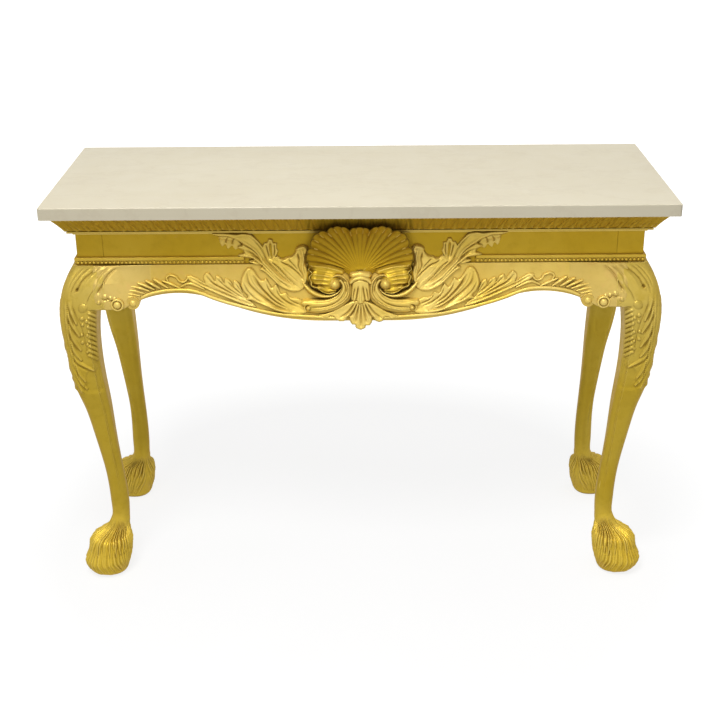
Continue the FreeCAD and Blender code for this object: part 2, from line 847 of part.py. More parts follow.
def make_block_screws():
    screw = doc.addObject("PartDesign::Body", "block_screw")
    profile = new_sketch(screw, "screw_profile", "XZ_Plane")
    outline(profile, [
        (ZERO, screw_reach, None),
        (ZERO, -size.screw_head_height, None),
        (size.screw_head_radius, -size.screw_head_height, None),
        (size.screw_head_radius, ZERO, None),
        (size.screw_radius, ZERO, None),
        (size.screw_radius, screw_reach, None),
    ])
    turned = screw.newObject("PartDesign::Revolution", "screw_turned")
    turned.Profile = profile
    turned.ReferenceAxis = (profile, ["V_Axis"])
    turned.Angle = 360.0
    lean = FreeCAD.Rotation(vector(0, 0, 1), vector(-1, -1))
    screw.Placement = FreeCAD.Placement(vector(0, 0), lean)
    bind(screw, "Placement.Base.x", -half_length - block_face)
    bind(screw, "Placement.Base.y", front_face - block_face)
    bind(screw, "Placement.Base.z", block_middle)
    group = [screw]
    for source, normal, y in ((0, vector(1, 0, 0), ZERO), (0, vector(0, 1, 0), size.frame_setback),
                              (2, vector(1, 0, 0), ZERO)):
        twin = doc.addObject("Part::Mirroring", "block_screw_twin")
        twin.Source = group[source]
        twin.Normal = normal
        bind(twin, "Base.y", y)
        group.append(twin)
    screws = doc.addObject("Part::Compound", "block_screws")
    screws.Links = group
    keep(screws, "block_screws")


def make_battens():
    inner = half_depth - size.rail_thick
    half = size.batten_width / 2
    low = (-half, -inner, rail_top - size.batten_height)
    high = (half, inner, rail_top)
    for label, end in (("batten_left", -1), ("batten_right", 1)):
        body = new_body(label)
        box(body, "Additive", f"{label}_bar", low, high)
        place(body, size.batten_place * end, size.frame_setback)


def smooth_path(points):
    """A smooth curve through points given as x and z in front of the frame's face."""
    curve = Part.BSplineCurve()
    curve.interpolate([vector(x, 0.0, z) for x, z in points])
    return curve


def solid_on_ground(front):
    """Close a front whose whole edge lies on the ground plane with a flat back."""
    back = Part.Face(Part.Wire(Part.sortEdges(front.Edges)[0]))
    solid = Part.Solid(Part.Shell([front, back]))
    if solid.Volume < 0:
        solid.reverse()
    return solid


def draped_surface(grid):
    """A smooth surface drawn by a grid of poles, which it follows without overshooting."""
    counts = (len(grid), len(grid[0]))
    knots = [list(range(count - RELIEF_DEGREE + 1)) for count in counts]
    end = [RELIEF_DEGREE + 1]
    repeats = [end + [1] * (count - RELIEF_DEGREE - 1) + end for count in counts]
    surface = Part.BSplineSurface()
    surface.buildFromPolesMultsKnots(grid, *repeats, *knots, False, False, RELIEF_DEGREE, RELIEF_DEGREE)
    return surface


def relief(curve, half_width, height, shape, groove=0.0, rows=RELIEF_ROWS):
    """Carving that follows a curve, with a flat back. Shape gives width and height shares along it."""
    total = curve.length()
    grid = []
    for row in range(rows + 1):
        share = row / rows
        at = curve.parameterAtDistance(total * share, curve.FirstParameter)
        point = curve.value(at)
        along = curve.tangent(at)[0]
        across = vector(-along.z, 0.0, along.x)
        wide, high = shape(share)
        line = []
        for column in range(RELIEF_COLUMNS + 1):
            angle = math.pi * column / RELIEF_COLUMNS
            swell = math.sin(angle) * (1.0 - groove * math.sin(angle) ** 6)
            offset = across * (half_width * wide * math.cos(angle))
            line.append(point + offset + vector(0.0, -height * high * swell, 0.0))
        grid.append(line)
    return solid_on_ground(draped_surface(grid).toShape())


def leaf_shape(lobes, depth_share, widest_share):
    """Width and height of a leaf whose edge is cut into lobes."""
    def shape(share):
        power = math.log(0.5) / math.log(widest_share)
        body = math.sin(math.pi * share ** power) if 0.0 < share < 1.0 else 0.0
        notch = 1.0 - depth_share * (0.5 + 0.5 * math.cos(2.0 * math.pi * lobes * share))
        return END_SHARE + (1.0 - END_SHARE) * body * notch, body
    return shape


def band_shape(share):
    """Even width with both ends run out."""
    body = min(1.0, 8.0 * share, 8.0 * (1.0 - share))
    return max(2 * END_SHARE, body), max(0.0, body)


def horn_shape(share):
    body = min(1.0, 6.0 * share) * (1.0 - 0.75 * share)
    return max(END_SHARE, body), body if share < 1.0 else 0.0


def carve_on_frieze(label, solid):
    """Stand a carved piece on the face of the frieze."""
    piece = doc.addObject("Part::Feature", label)
    piece.Shape = solid
    place(piece, ZERO, front_face, frieze_foot)
    return keep(piece, label)


def carve_on_apron(label, solid):
    """Lay a carved piece on the leaning face of the front apron."""
    piece = carve_on_frieze(label, solid)
    lean = -math.degrees(math.atan(apron_slope.value))
    place(piece, ZERO, front_face - size.bead_stand, frieze_foot)
    piece.Placement = FreeCAD.Placement(piece.Placement.Base, FreeCAD.Rotation(vector(1, 0, 0), lean))
    return piece


def carve_pair(name, solid, ground):
    right = ground(f"{name}_right", solid)
    mirrored(right, f"{name}_left", vector(1, 0, 0))


def leaf_path(name, level):
    """A leaf's path over the field beside the shell."""
    start_share, reach_share = FIELD_SHARES[name]
    start = in_field(start_share).value
    reach = (carving_field * reach_share).value
    rise = getattr(size, f"{name}_rise").value
    return smooth_path([(start + reach * along, level + rise * up) for along, up in LEAF_PATH_SHARES[name]])


def make_leaves():
    """The leaves beside the shell: name, ground, level, lobes and their depth, groove along the middle."""
    plans = (
        ("spray", carve_on_frieze, size.spray_level, 5, 0.35, 0.3),
        ("side_leaf", carve_on_frieze, size.side_leaf_level, 4, 0.35, 0.3),
        ("stem_leaf", carve_on_apron, -size.stem_leaf_drop, 4, 0.3, 0.3),
        ("gadroon", carve_on_apron, -size.gadroon_drop, 8, 0.35, 0.0),
    )
    for name, ground, level, lobes, depth_share, groove in plans:
        half_width = getattr(size, f"{name}_half_width").value
        height = getattr(size, f"{name}_height").value
        shape = leaf_shape(lobes, depth_share, LEAF_WIDEST_SHARE)
        carve_pair(name, relief(leaf_path(name, level.value), half_width, height, shape, groove), ground)


def apron_edge(place_x):
    """The front apron's lower edge at a place: level along the face below the frieze, and the slope there."""
    edge = arch_values()
    apex_x, apex_z = (length.value for length in edge["apex"])
    if place_x > edge["turn"][0].value:
        run = place_x - apex_x
        across = math.sqrt(size.arch_radius.value ** 2 - run ** 2)
        level = apex_z - size.arch_radius.value + across
        slope = -run / across
    else:
        run = place_x - size.belly_place.value
        across = math.sqrt(edge["belly_radius"].value ** 2 - run ** 2)
        level = edge["belly_z"].value + edge["belly_radius"].value - across
        slope = run / across
    stretch = math.hypot(1.0, apron_slope.value)
    return (level - frieze_foot.value) * stretch, slope * stretch


def beside_edge(places, lifts):
    """A path along the front apron's lower edge, at a distance from it for each place."""
    points = []
    for place_x, lift in zip(places, lifts):
        level, slope = apron_edge(place_x)
        length = math.hypot(1.0, slope)
        points.append((place_x - lift * slope / length, level + lift / length))
    return smooth_path(points)


def make_edge_leaves():
    """Leaves that grow out along the band on the apron's lower edge, clear of it."""
    band = size.band_edge + size.band_half_width * 2
    for name, depth_share in (("apron_leaf", 0.3), ("tuft", 0.4)):
        half_width = getattr(size, f"{name}_half_width")
        lift = band + getattr(size, f"{name}_clearance") + half_width
        rise = getattr(size, f"{name}_rise")
        start_share, reach_share = FIELD_SHARES[name]
        places = [in_field(start_share + reach_share * along).value for along, up in LEAF_PATH_SHARES[name]]
        lifts = [(lift + rise * up).value for along, up in LEAF_PATH_SHARES[name]]
        shape = leaf_shape(5, depth_share, LEAF_WIDEST_SHARE)
        height = getattr(size, f"{name}_height").value
        solid = relief(beside_edge(places, lifts), half_width.value, height, shape, 0.3)
        carve_pair(name, solid, carve_on_apron)


def make_horns():
    start = size.horn_start.value
    level = -size.horn_drop.value
    reach = size.horn_reach.value
    rise = size.horn_rise.value
    path = smooth_path([(start + reach * along, level + rise * up) for along, up in HORN_PATH_SHARES])
    solid = relief(path, size.horn_half_width.value, size.horn_height.value, horn_shape)
    carve_pair("horn", solid, carve_on_apron)


def scroll_shape(share):
    """A band that swells out of its eye and runs out at the far end."""
    swell = min(1.0, SCROLL_EYE_SHARE + 1.6 * share) * min(1.0, 5.0 * (1.0 - share) + END_SHARE)
    return swell, swell if 0.0 < share < 1.0 else 0.0


def make_scrolls():
    """C scrolls: three quarters of a turn out of the eye, then a sweep down and out along the apron."""
    eye_x = size.scroll_start.value
    eye_z = -size.scroll_drop.value
    radius = size.scroll_radius.value
    points = []
    for step in range(SCROLL_STEPS):
        share = step / (SCROLL_STEPS - 1)
        angle = math.radians(-90.0 + 270.0 * share)
        reach = radius * (SCROLL_EYE_SHARE + (1.0 - SCROLL_EYE_SHARE) * share)
        points.append((eye_x + reach * math.cos(angle), eye_z + reach * math.sin(angle)))
    reach = size.scroll_reach.value
    fall = size.scroll_fall.value
    for along, down in SCROLL_PATH_SHARES:
        points.append((eye_x - radius + reach * along, eye_z - fall * down))
    half_width = size.scroll_half_width.value
    solid = relief(smooth_path(points), half_width, size.scroll_height.value, scroll_shape, rows=36)
    carve_pair("c_scroll", solid, carve_on_apron)


def make_palmettes():
    for name, lobes in (("palmette", 3), ("pendant", 4)):
        top = -getattr(size, f"{name}_drop").value
        foot = top - getattr(size, f"{name}_fall").value
        curve = smooth_path([(0.0, top), (0.0, (top + foot) / 2), (0.0, foot)])
        half_width = getattr(size, f"{name}_half_width").value
        height = getattr(size, f"{name}_height").value
        carve_on_apron(name, relief(curve, half_width, height, leaf_shape(lobes, 0.35, 0.5), 0.2))


def make_edge_bands():
    """A raised band along the front apron's lower edge, from the end volute to the C scroll."""
    edge = arch_values()
    turn_x = edge["turn"][0].value
    belly_x = size.belly_place.value
    start_x = (edge["end"][0] - size.apron_volute_radius - size.band_half_width).value
    places = [start_x + (turn_x - start_x) * share for share in BAND_STEP_SHARES]
    places += [turn_x + (belly_x - turn_x) * share for share in BAND_STEP_SHARES[1:]]
    lift = (size.band_half_width + size.band_edge).value
    path = beside_edge(places, [lift] * len(places))
    solid = relief(path, size.band_half_width.value, size.band_height.value, band_shape, rows=32)
    carve_pair("edge_band", solid, carve_on_apron)


def shell_point(ring_share, turn_share, back):
    """A point of the shell: how far from hinge to rim, and how far round from the right edge to the left."""
    angle = math.radians(SHELL_SPREAD * (1.0 - 2.0 * turn_share))
    wave = math.cos(2.0 * math.pi * SHELL_FLUTES * turn_share)
    lobe = math.cos(2.0 * math.pi * SHELL_LOBES * turn_share)
    shoulder = 1.0 + SHELL_SHOULDER_SHARE * math.sin(2.0 * angle) ** 2
    rim = size.shell_radius.value * shoulder - size.shell_scallop.value * (0.5 + 0.5 * wave)
    rim = rim - size.shell_lobe_depth.value * (0.5 + 0.5 * lobe)
    if back:
        rim = rim - size.shell_back_inset.value
    inner = size.shell_hinge_radius.value
    reach = inner + (rim - inner) * ring_share
    side = size.shell_side_stand.value
    rim_stand = side + (size.shell_stand.value - side) * max(0.0, math.cos(angle))
    dish = size.shell_hinge_stand.value * (1.0 - ring_share) + rim_stand * ring_share
    hollow = 4.0 * size.shell_dish.value * ring_share * (1.0 - ring_share)
    flute = size.shell_flute_depth.value * ring_share * wave
    stand = 0.0 if back else dish - hollow - flute
    return vector(reach * math.sin(angle), -stand, reach * math.cos(angle) - size.shell_hinge_drop.value)


def make_shell():
    """A fluted fan that dishes between hinge and rim, undercut behind the rim."""
    steps = SHELL_FLUTES * SHELL_STEPS_PER_FLUTE
    turns = [step / steps for step in range(steps + 1)]
    rings = [ring / SHELL_RINGS for ring in range(SHELL_RINGS + 1)]
    surface = Part.BSplineSurface()
    surface.interpolate([[shell_point(ring, turn, False) for turn in turns] for ring in rings])
    front = surface.toShape()

    def near_end(edge, point):
        return min(edge.valueAt(at).distanceToPoint(point) for at in edge.ParameterRange)

    borders = (
        [(0.0, turn) for turn in turns],
        [(1.0, turn) for turn in turns],
        [(ring, 0.0) for ring in rings],
        [(ring, 1.0) for ring in rings],
    )
    walls = []
    backs = []
    for border in borders:
        ends = [shell_point(ring, turn, False) for ring, turn in (border[0], border[-1])]
        rim = min(front.Edges, key=lambda edge: near_end(edge, ends[0]) + near_end(edge, ends[1]))
        curve = Part.BSplineCurve()
        curve.interpolate([shell_point(ring, turn, True) for ring, turn in border])
        backs.append(curve.toShape())
        walls.append(Part.makeRuledSurface(rim, backs[-1]))
    floor = Part.Face(Part.Wire(Part.sortEdges(backs)[0]))
    skin = Part.Shell([front, floor] + walls)
    skin.sewShape()
    solid = Part.Solid(skin)
    if solid.Volume < 0:
        solid.reverse()
    carve_on_frieze("shell", solid)


make_stone_top()
make_cornice()
make_beads()
make_rails()
make_long_aprons()
make_side_aprons()
make_legs()
make_ears()
make_corner_blocks()
make_block_screws()
make_battens()
make_shell()
make_leaves()
make_edge_leaves()
make_horns()
make_scrolls()
make_palmettes()
make_edge_bands()
doc.recompute()

for thing in doc.Objects:
    if "Invalid" in thing.State or "Error" in thing.State:
        raise RuntimeError(f"{thing.Label} failed: {thing.State}")
for label, thing in parts.items():
    if thing.Shape.isNull() or not thing.Shape.isValid() or thing.Shape.Volume <= 0:
        raise RuntimeError(f"{label} has no sound shape")

os.makedirs("parts", exist_ok=True)
for label, thing in parts.items():
    thing.Shape.exportStep(f"parts/{label}.step")
print(f"{len(parts)} pieces written")
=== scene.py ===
import json
import math

import bpy
import numpy as np
from mathutils import Matrix, Vector
from mathutils.bvhtree import BVHTree


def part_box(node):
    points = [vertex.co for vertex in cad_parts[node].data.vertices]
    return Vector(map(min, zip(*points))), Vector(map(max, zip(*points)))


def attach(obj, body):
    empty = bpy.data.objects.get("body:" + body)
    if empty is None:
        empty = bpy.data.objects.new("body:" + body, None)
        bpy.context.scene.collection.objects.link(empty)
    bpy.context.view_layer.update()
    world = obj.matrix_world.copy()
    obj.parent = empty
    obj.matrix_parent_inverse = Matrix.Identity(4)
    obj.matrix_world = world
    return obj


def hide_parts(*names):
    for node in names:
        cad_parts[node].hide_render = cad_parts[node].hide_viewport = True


# A gilded pier table with a stone top: carved work, materials, studio and camera round the CAD frame.
# Lengths in this script are millimetres until a mesh is made, unless a name ends in _m or _M.

MM = 0.001

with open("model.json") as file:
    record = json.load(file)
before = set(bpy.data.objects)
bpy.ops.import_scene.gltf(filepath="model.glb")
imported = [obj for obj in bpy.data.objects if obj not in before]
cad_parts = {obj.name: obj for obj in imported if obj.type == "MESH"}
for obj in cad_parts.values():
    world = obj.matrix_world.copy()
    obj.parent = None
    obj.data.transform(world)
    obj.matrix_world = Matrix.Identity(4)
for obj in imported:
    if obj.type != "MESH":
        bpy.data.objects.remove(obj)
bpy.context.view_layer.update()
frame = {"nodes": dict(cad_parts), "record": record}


def node_box(node):
    """Lowest and highest corner of a CAD node in millimetres."""
    low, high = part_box(node)
    return np.array(low) / MM, np.array(high) / MM


# Places read off the frame; FOOT is the level where the frieze ends and the aprons start
APRON_LOW, APRON_HIGH = node_box("apron_front")
BEAD_LOW, BEAD_HIGH = node_box("bead_front_left")
CORNICE_LOW, CORNICE_HIGH = node_box("cornice_front")
FOOT = APRON_HIGH[2]
FRIEZE_Y = node_box("frieze_rail_front")[0][1]
BEAD_STAND = FRIEZE_Y - BEAD_LOW[1]
BEAD_HEIGHT = BEAD_HIGH[2] - FOOT
APRON_DROP = FOOT - APRON_LOW[2]
APRON_SWELL = FRIEZE_Y - APRON_LOW[1]
LEAN = math.atan((APRON_SWELL - BEAD_STAND) / APRON_DROP)
CORNICE_STAND = FRIEZE_Y - CORNICE_LOW[1]
HALF_LENGTH = CORNICE_HIGH[0] - CORNICE_STAND
BACK_Y = node_box("cornice_back")[1][1] - CORNICE_STAND
MIDDLE_Y = (FRIEZE_Y + BACK_Y) / 2
HALF_DEPTH = (BACK_Y - FRIEZE_Y) / 2
RAIL_TOP = CORNICE_HIGH[2]
APRON_REACH = APRON_HIGH[0]

# Mirrors: left to right, and front to back
ACROSS = np.array((-1.0, 1.0, 1.0))
BACKWARD = np.array((1.0, -1.0, 1.0))
BEHIND = np.array((0.0, 2.0 * MIDDLE_Y, 0.0))

# The photograph's camera, found from the stone's corners
PHOTO_SIZE = 720
PHOTO_FOCUS = 1300.0
LENS_MM = 65.0
SENSOR_MM = 36.0
CAMERA_PLACE = np.array((7.6, -2701.3, 1612.9))
CAMERA_PITCH = math.radians(23.46)
CAMERA_YAW = math.radians(-0.21)
CAMERA_ROLL = math.radians(-0.45)
# The wooden frame stands this much left of the stone in the photograph, and is centred here
CENTRE_SHIFT = 4.0


def camera_axes():
    """Right, down and forward of the photograph's camera."""
    forward = np.array((
        math.sin(CAMERA_YAW) * math.cos(CAMERA_PITCH),
        math.cos(CAMERA_YAW) * math.cos(CAMERA_PITCH),
        -math.sin(CAMERA_PITCH),
    ))
    level = np.array((math.cos(CAMERA_YAW), -math.sin(CAMERA_YAW), 0.0))
    down = np.cross(forward, level)
    right = math.cos(CAMERA_ROLL) * level - math.sin(CAMERA_ROLL) * down
    down = math.sin(CAMERA_ROLL) * level + math.cos(CAMERA_ROLL) * down
    return right, down, forward


def on_face(pixel, lift):
    """Where a photo pixel lies on the front: x, and height over the frieze's foot along the face."""
    right, down, forward = camera_axes()
    middle = PHOTO_SIZE / 2
    ray = right * (pixel[0] - middle) / PHOTO_FOCUS + down * (pixel[1] - middle) / PHOTO_FOCUS + forward
    point = CAMERA_PLACE + ray * (FRIEZE_Y - lift - CAMERA_PLACE[1]) / ray[1]
    if point[2] >= FOOT:
        return point[0] + CENTRE_SHIFT, point[2] - FOOT
    normal = np.array((0.0, -math.cos(LEAN), math.sin(LEAN)))
    ground = np.array((0.0, FRIEZE_Y - BEAD_STAND, FOOT)) + normal * lift
    point = CAMERA_PLACE + ray * np.dot(ground - CAMERA_PLACE, normal) / np.dot(ray, normal)
    return point[0] + CENTRE_SHIFT, (point[2] - FOOT) / math.cos(LEAN)


def photo_pixels(points):
    """Where points of the frame show in the photograph."""
    right, down, forward = camera_axes()
    ray = points - CAMERA_PLACE - np.array((CENTRE_SHIFT, 0.0, 0.0))
    depth = ray @ forward
    middle = PHOTO_SIZE / 2
    return middle + PHOTO_FOCUS * (ray @ right) / depth, middle + PHOTO_FOCUS * (ray @ down) / depth


def smooth(share):
    """A soft step: 0 below a share of 0, 1 above a share of 1."""
    share = np.clip(share, 0.0, 1.0)
    return share * share * (3.0 - 2.0 * share)


def face_points(x, up, lift):
    """Points over the front: x, height along the face and lift off it, as arrays."""
    above = np.maximum(up, 0.0)
    below = np.minimum(up, 0.0)
    step = BEAD_STAND * (1.0 - smooth(above / BEAD_HEIGHT))
    y = FRIEZE_Y - step + below * math.sin(LEAN)
    z = FOOT + above + below * math.cos(LEAN)
    turn = LEAN * smooth((BEAD_HEIGHT - up) / (2.0 * BEAD_HEIGHT))
    return np.stack([x, y - lift * np.cos(turn), z + lift * np.sin(turn)], axis=-1)


# Meshes

def mesh_piece(name, points, faces, material, replaced=(), flip=False):
    """A named piece of the scene from points in millimetres."""
    mesh = bpy.data.meshes.new(name)
    if flip:
        faces = [face[::-1] for face in faces]
    mesh.from_pydata((np.asarray(points) * MM).tolist(), [], faces)
    mesh.validate()
    mesh.shade_smooth()
    mesh.materials.append(material)
    piece = bpy.data.objects.new(name, mesh)
    bpy.context.scene.collection.objects.link(piece)
    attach(piece, "root")
    if replaced:
        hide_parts(*replaced)
    return piece


def mirror_pair(name, made, material, replaced):
    """A piece on the left and its mirror image on the right."""
    points, faces = made
    for side, placed, flip in (("left", points, False), ("right", points * ACROSS, True)):
        nodes = [f"{node}_{side}" for node in replaced]
        mesh_piece(f"{name}_{side}", placed, faces, material, nodes, flip=flip)


def at_corners(points):
    """Points of the front left corner placed at each corner, and whether they are mirrored there."""
    behind = points * BACKWARD + BEHIND
    yield "front_left", points, False
    yield "front_right", points * ACROSS, True
    yield "back_left", behind, True
    yield "back_right", behind * ACROSS, False


def crease(piece, angle):
    """Keep edges sharper than an angle crisp."""
    piece.data.set_sharp_from_angle(angle=math.radians(angle))


def grid_faces(rows, columns, closed=False):
    """Quads of a grid of points stored row by row, its columns closed round or not."""
    faces = []
    last = columns if closed else columns - 1
    for row in range(rows - 1):
        below = row * columns
        above = below + columns
        for column in range(last):
            right = (column + 1) % columns
            faces.append((below + column, below + right, above + right, above + column))
    return faces


def tube_faces(rows, columns):
    """Faces of a tube of points stored ring by ring, both its ends closed."""
    faces = grid_faces(rows, columns, closed=True)
    faces.append(tuple(range(columns))[::-1])
    faces.append(tuple(range((rows - 1) * columns, rows * columns)))
    return faces


def joined(parts):
    """One list of points and faces out of several."""
    points = []
    faces = []
    count = 0
    for some_points, some_faces in parts:
        points.append(np.asarray(some_points, float).reshape(-1, 3))
        faces.extend(tuple(index + count for index in face) for face in some_faces)
        count += len(points[-1])
    return np.concatenate(points), faces


def lathe(profile, centre, axis, across, steps):
    """A turned form: (radius, height) pairs about an axis."""
    axis = np.array(axis, float)
    across = np.array(across, float)
    third = np.cross(axis, across)
    points = []
    for radius, height in profile:
        for step in range(steps):
            angle = 2.0 * math.pi * step / steps
            ring = across * math.cos(angle) + third * math.sin(angle)
            points.append(np.array(centre) + axis * height + ring * radius)
    return np.array(points), tube_faces(len(profile), steps)


# Carving as strokes of a gouge: each has a kind, half widths and heights along it, then its points

STROKE_STEPS = 56
STROKE_LIFT_SHARE = 0.6
CREST_POWER = 0.85
ROUND_POWER = 0.62
LINE_STEPS = 48
LINE_REACH = 3.0
LINE_END = 0.08
LINE_FADE = 4.0
OUTLINE_STEPS = 6
LEAF_RISE_SHARE = 0.75
LEAF_LIFT_SHARE = 0.8
LEAF_EDGE_SHARE = 0.45
LEAF_DISH_REACH = 3.0
LEAF_NEAR = 4.0
LEAF_NEAR_POWER = 1.5
VEIN_DEPTH_SHARE = 1.4
VEIN_GROUND = 2.0
VEIN_LIFT = 7.0
FIELD_STEP = 1.0
FIELD_MARGIN = 8.0
SINK = 0.5
BACKING = 1.5


def spline(a, b, c, d, share):
    """The spot a share of the way from b to c, on a smooth curve through four points."""
    return 0.5 * (2 * b + (c - a) * share + (2 * a - 5 * b + 4 * c - d) * share ** 2
                  + (3 * b - a - 3 * c + d) * share ** 3)


def curve_through(points, count):
    """Points of a smooth curve through the given ones."""
    points = np.array(points, float)
    if len(points) == 1:
        return np.repeat(points, 2, axis=0)
    ends = np.vstack([2 * points[0] - points[1], points, 2 * points[-1] - points[-2]])
    lengths = np.linalg.norm(np.diff(points, axis=0), axis=1)
    places = np.concatenate([[0.0], np.cumsum(lengths)])
    found = []
    for place in np.linspace(0.0, places[-1], count):
        at = min(np.searchsorted(places, place, side="right") - 1, len(lengths) - 1)
        found.append(spline(*ends[at:at + 4], (place - places[at]) / lengths[at]))
    return np.array(found)


def closed_curve(points):
    """A smooth closed curve through points of any dimension."""
    points = np.array(points, float)
    found = []
    for a, b, c, d in zip(np.roll(points, 1, 0), points, np.roll(points, -1, 0), np.roll(points, -2, 0)):
        found += [spline(a, b, c, d, step / OUTLINE_STEPS) for step in range(OUTLINE_STEPS)]
    return np.array(found)


def along(values, shares):
    """Values spread evenly over a path, read at shares of its length."""
    return np.interp(shares, np.linspace(0.0, 1.0, len(values)), values)


def nearest(x, up, path, reach, widths):
    """Which points of a field are in reach of a path, and for each of them the nearest spot of the path.

    The last value is how far off that spot is, in widths.
    """
    low = path.min(axis=0) - reach
    high = path.max(axis=0) + reach
    near = (x >= low[0]) & (x <= high[0]) & (up >= low[1]) & (up <= high[1])
    offset = np.stack([x[near], up[near]], axis=-1)[:, None, :] - path
    across = np.linalg.norm(offset, axis=2) / widths
    spot = across.argmin(axis=1)
    return near, spot, across[np.arange(len(spot)), spot]


def gouge_profile(kind, across):
    """Height across a stroke, from 1 on its line to 0 at its edge: a crest is sharp, a round one full."""
    if kind == "crest":
        return np.clip(1.0 - across, 0.0, 1.0) ** CREST_POWER
    return np.clip(1.0 - across ** 2, 0.0, 1.0) ** ROUND_POWER


def add_stroke(height, x, up, stroke):
    """Raise a field of heights where a stroke passes. Points are in the field's own coordinates."""
    kind, widths, heights, points = stroke
    path = curve_through(points, STROKE_STEPS)
    shares = np.linspace(0.0, 1.0, len(path))
    near, spot, across = nearest(x, up, path, max(widths), along(widths, shares))
    raised = along(heights, shares)[spot] * gouge_profile(kind, across)
    height[near] = np.maximum(height[near], raised)


def add_line(height, x, up, depth, half_width, points):
    """Cut or raise a thin line through points of the field, fainter towards its ends."""
    path = curve_through(points, LINE_STEPS)
    shares = np.linspace(0.0, 1.0, len(path))
    near, spot, across = nearest(x, up, path, LINE_REACH * half_width, half_width)
    from_end = np.minimum(shares, 1.0 - shares) + LINE_END
    height[near] += depth * np.minimum(1.0, LINE_FADE * from_end)[spot] * np.exp(-across ** 2)


def from_photo(strokes):
    """Strokes given in photo pixels, as strokes on the face."""
    found = []
    for kind, widths, heights, *pixels in strokes:
        lift = STROKE_LIFT_SHARE * sum(heights) / len(heights)
        found.append((kind, widths, heights, [on_face(pixel, lift) for pixel in pixels]))
    return found


def inside_path(x, up, path):
    """Which points of a field lie inside a closed path, and their squared distances to its points."""
    inside = np.zeros(x.shape, bool)
    for (ax, ay), (bx, by) in zip(path, np.roll(path, -1, 0)):
        if ay != by:
            crosses = (ay > up) != (by > up)
            inside ^= crosses & (x < (bx - ax) * (up - ay) / (by - ay) + ax)
    offset = np.stack([x[inside], up[inside]], axis=-1)[:, None, :] - path
    return inside, (offset ** 2).sum(axis=2)


def add_leaf(height, x, up, leaf):
    """Raise a leaf: its edge stands off the ground as its outline says, its middle is dished."""
    dish, shoulder, outline = leaf
    corners = []
    for over, down, edge_rise in outline:
        rise = edge_rise * LEAF_RISE_SHARE
        corners.append((*on_face((over, down), LEAF_LIFT_SHARE * rise), rise))
    path = closed_curve(corners)
    inside, apart = inside_path(x, up, path[:, :2])
    weight = 1.0 / (apart + LEAF_NEAR) ** LEAF_NEAR_POWER
    rise = (weight * path[:, 2]).sum(axis=1) / weight.sum(axis=1)
    edge = np.sqrt(apart.min(axis=1))
    round_off = 1.0 - (1.0 - np.clip(edge / shoulder, 0.0, 1.0)) ** 2
    raised = rise * (LEAF_EDGE_SHARE + (1.0 - LEAF_EDGE_SHARE) * round_off)
    raised -= dish * smooth(edge / (LEAF_DISH_REACH * shoulder))
    height[inside] = np.maximum(height[inside], raised)


def add_vein(height, x, up, vein):
    """A thin line on what has been carved already."""
    depth, half_width, pixels = vein
    ground = height < VEIN_GROUND
    before = height.copy()
    points = [on_face(pixel, VEIN_LIFT) for pixel in pixels]
    add_line(height, x, up, VEIN_DEPTH_SHARE * depth, half_width, points)
    height[ground] = before[ground]


def carved_field(leaves=(), veins=(), bands=()):
    """The closed relief of leaves, bands and veins over the front."""
    strokes = from_photo(bands)
    every = [on_face(point[:2], 0.0) for leaf in leaves for point in leaf[2]]
    every += [point for stroke in strokes for point in stroke[3]]
    reach = max([max(stroke[1]) for stroke in strokes] + [FIELD_MARGIN]) + 2.0 * FIELD_STEP
    low = np.min(every, axis=0) - reach
    high = np.max(every, axis=0) + reach
    x, up = np.meshgrid(np.arange(low[0], high[0], FIELD_STEP), np.arange(low[1], high[1], FIELD_STEP))
    height = np.zeros_like(x)
    for leaf in leaves:
        add_leaf(height, x, up, leaf)
    for stroke in strokes:
        add_stroke(height, x, up, stroke)
    for vein in veins:
        add_vein(height, x, up, vein)
    raised = height > SINK / 2
    cells = raised[:-1, :-1] | raised[1:, :-1] | raised[:-1, 1:] | raised[1:, 1:]
    top = face_points(x, up, height - SINK)
    back = face_points(x, up, np.full_like(x, -BACKING))
    return close_field(cells, top, back)


def close_field(cells, top, back):
    """Faces for the marked cells of a field: front, back and the walls round them."""
    rows, columns = cells.shape
    number = np.full((rows + 1, columns + 1), -1)
    marked = np.zeros((rows + 1, columns + 1), bool)
    for down, over in ((0, 0), (0, 1), (1, 0), (1, 1)):
        marked[down:rows + down, over:columns + over] |= cells
    count = int(marked.sum())
    number[marked] = np.arange(count)
    points = np.concatenate([top[marked], back[marked]])
    row, column = np.nonzero(cells)
    corners = np.stack([number[row, column], number[row, column + 1],
                        number[row + 1, column + 1], number[row + 1, column]], axis=1)
    faces = [tuple(face) for face in corners.tolist()]
    faces += [tuple(face[::-1]) for face in (corners + count).tolist()]
    padded = np.pad(cells, 1)
    # The step to each neighbouring cell, and the two corners on the side towards it
    for over, down, first, second in ((0, -1, 0, 1), (1, 0, 1, 2), (0, 1, 2, 3), (-1, 0, 3, 0)):
        open_side = cells & ~padded[1 + down:1 + down + rows, 1 + over:1 + over + columns]
        chosen = open_side[row, column]
        a = corners[chosen, first]
        b = corners[chosen, second]
        faces += [tuple(face) for face in np.stack([b, a, a + count, b + count], axis=1).tolist()]
    return points, faces


# Materials: a noise is its scale, detail and roughness, a bump its noise, strength and depth in metres

CREVICE_SAMPLES = 8
# Where a mix node keeps its two colours and the mixed one
MIX_FIRST = 6
MIX_SECOND = 7
MIX_RESULT = 2

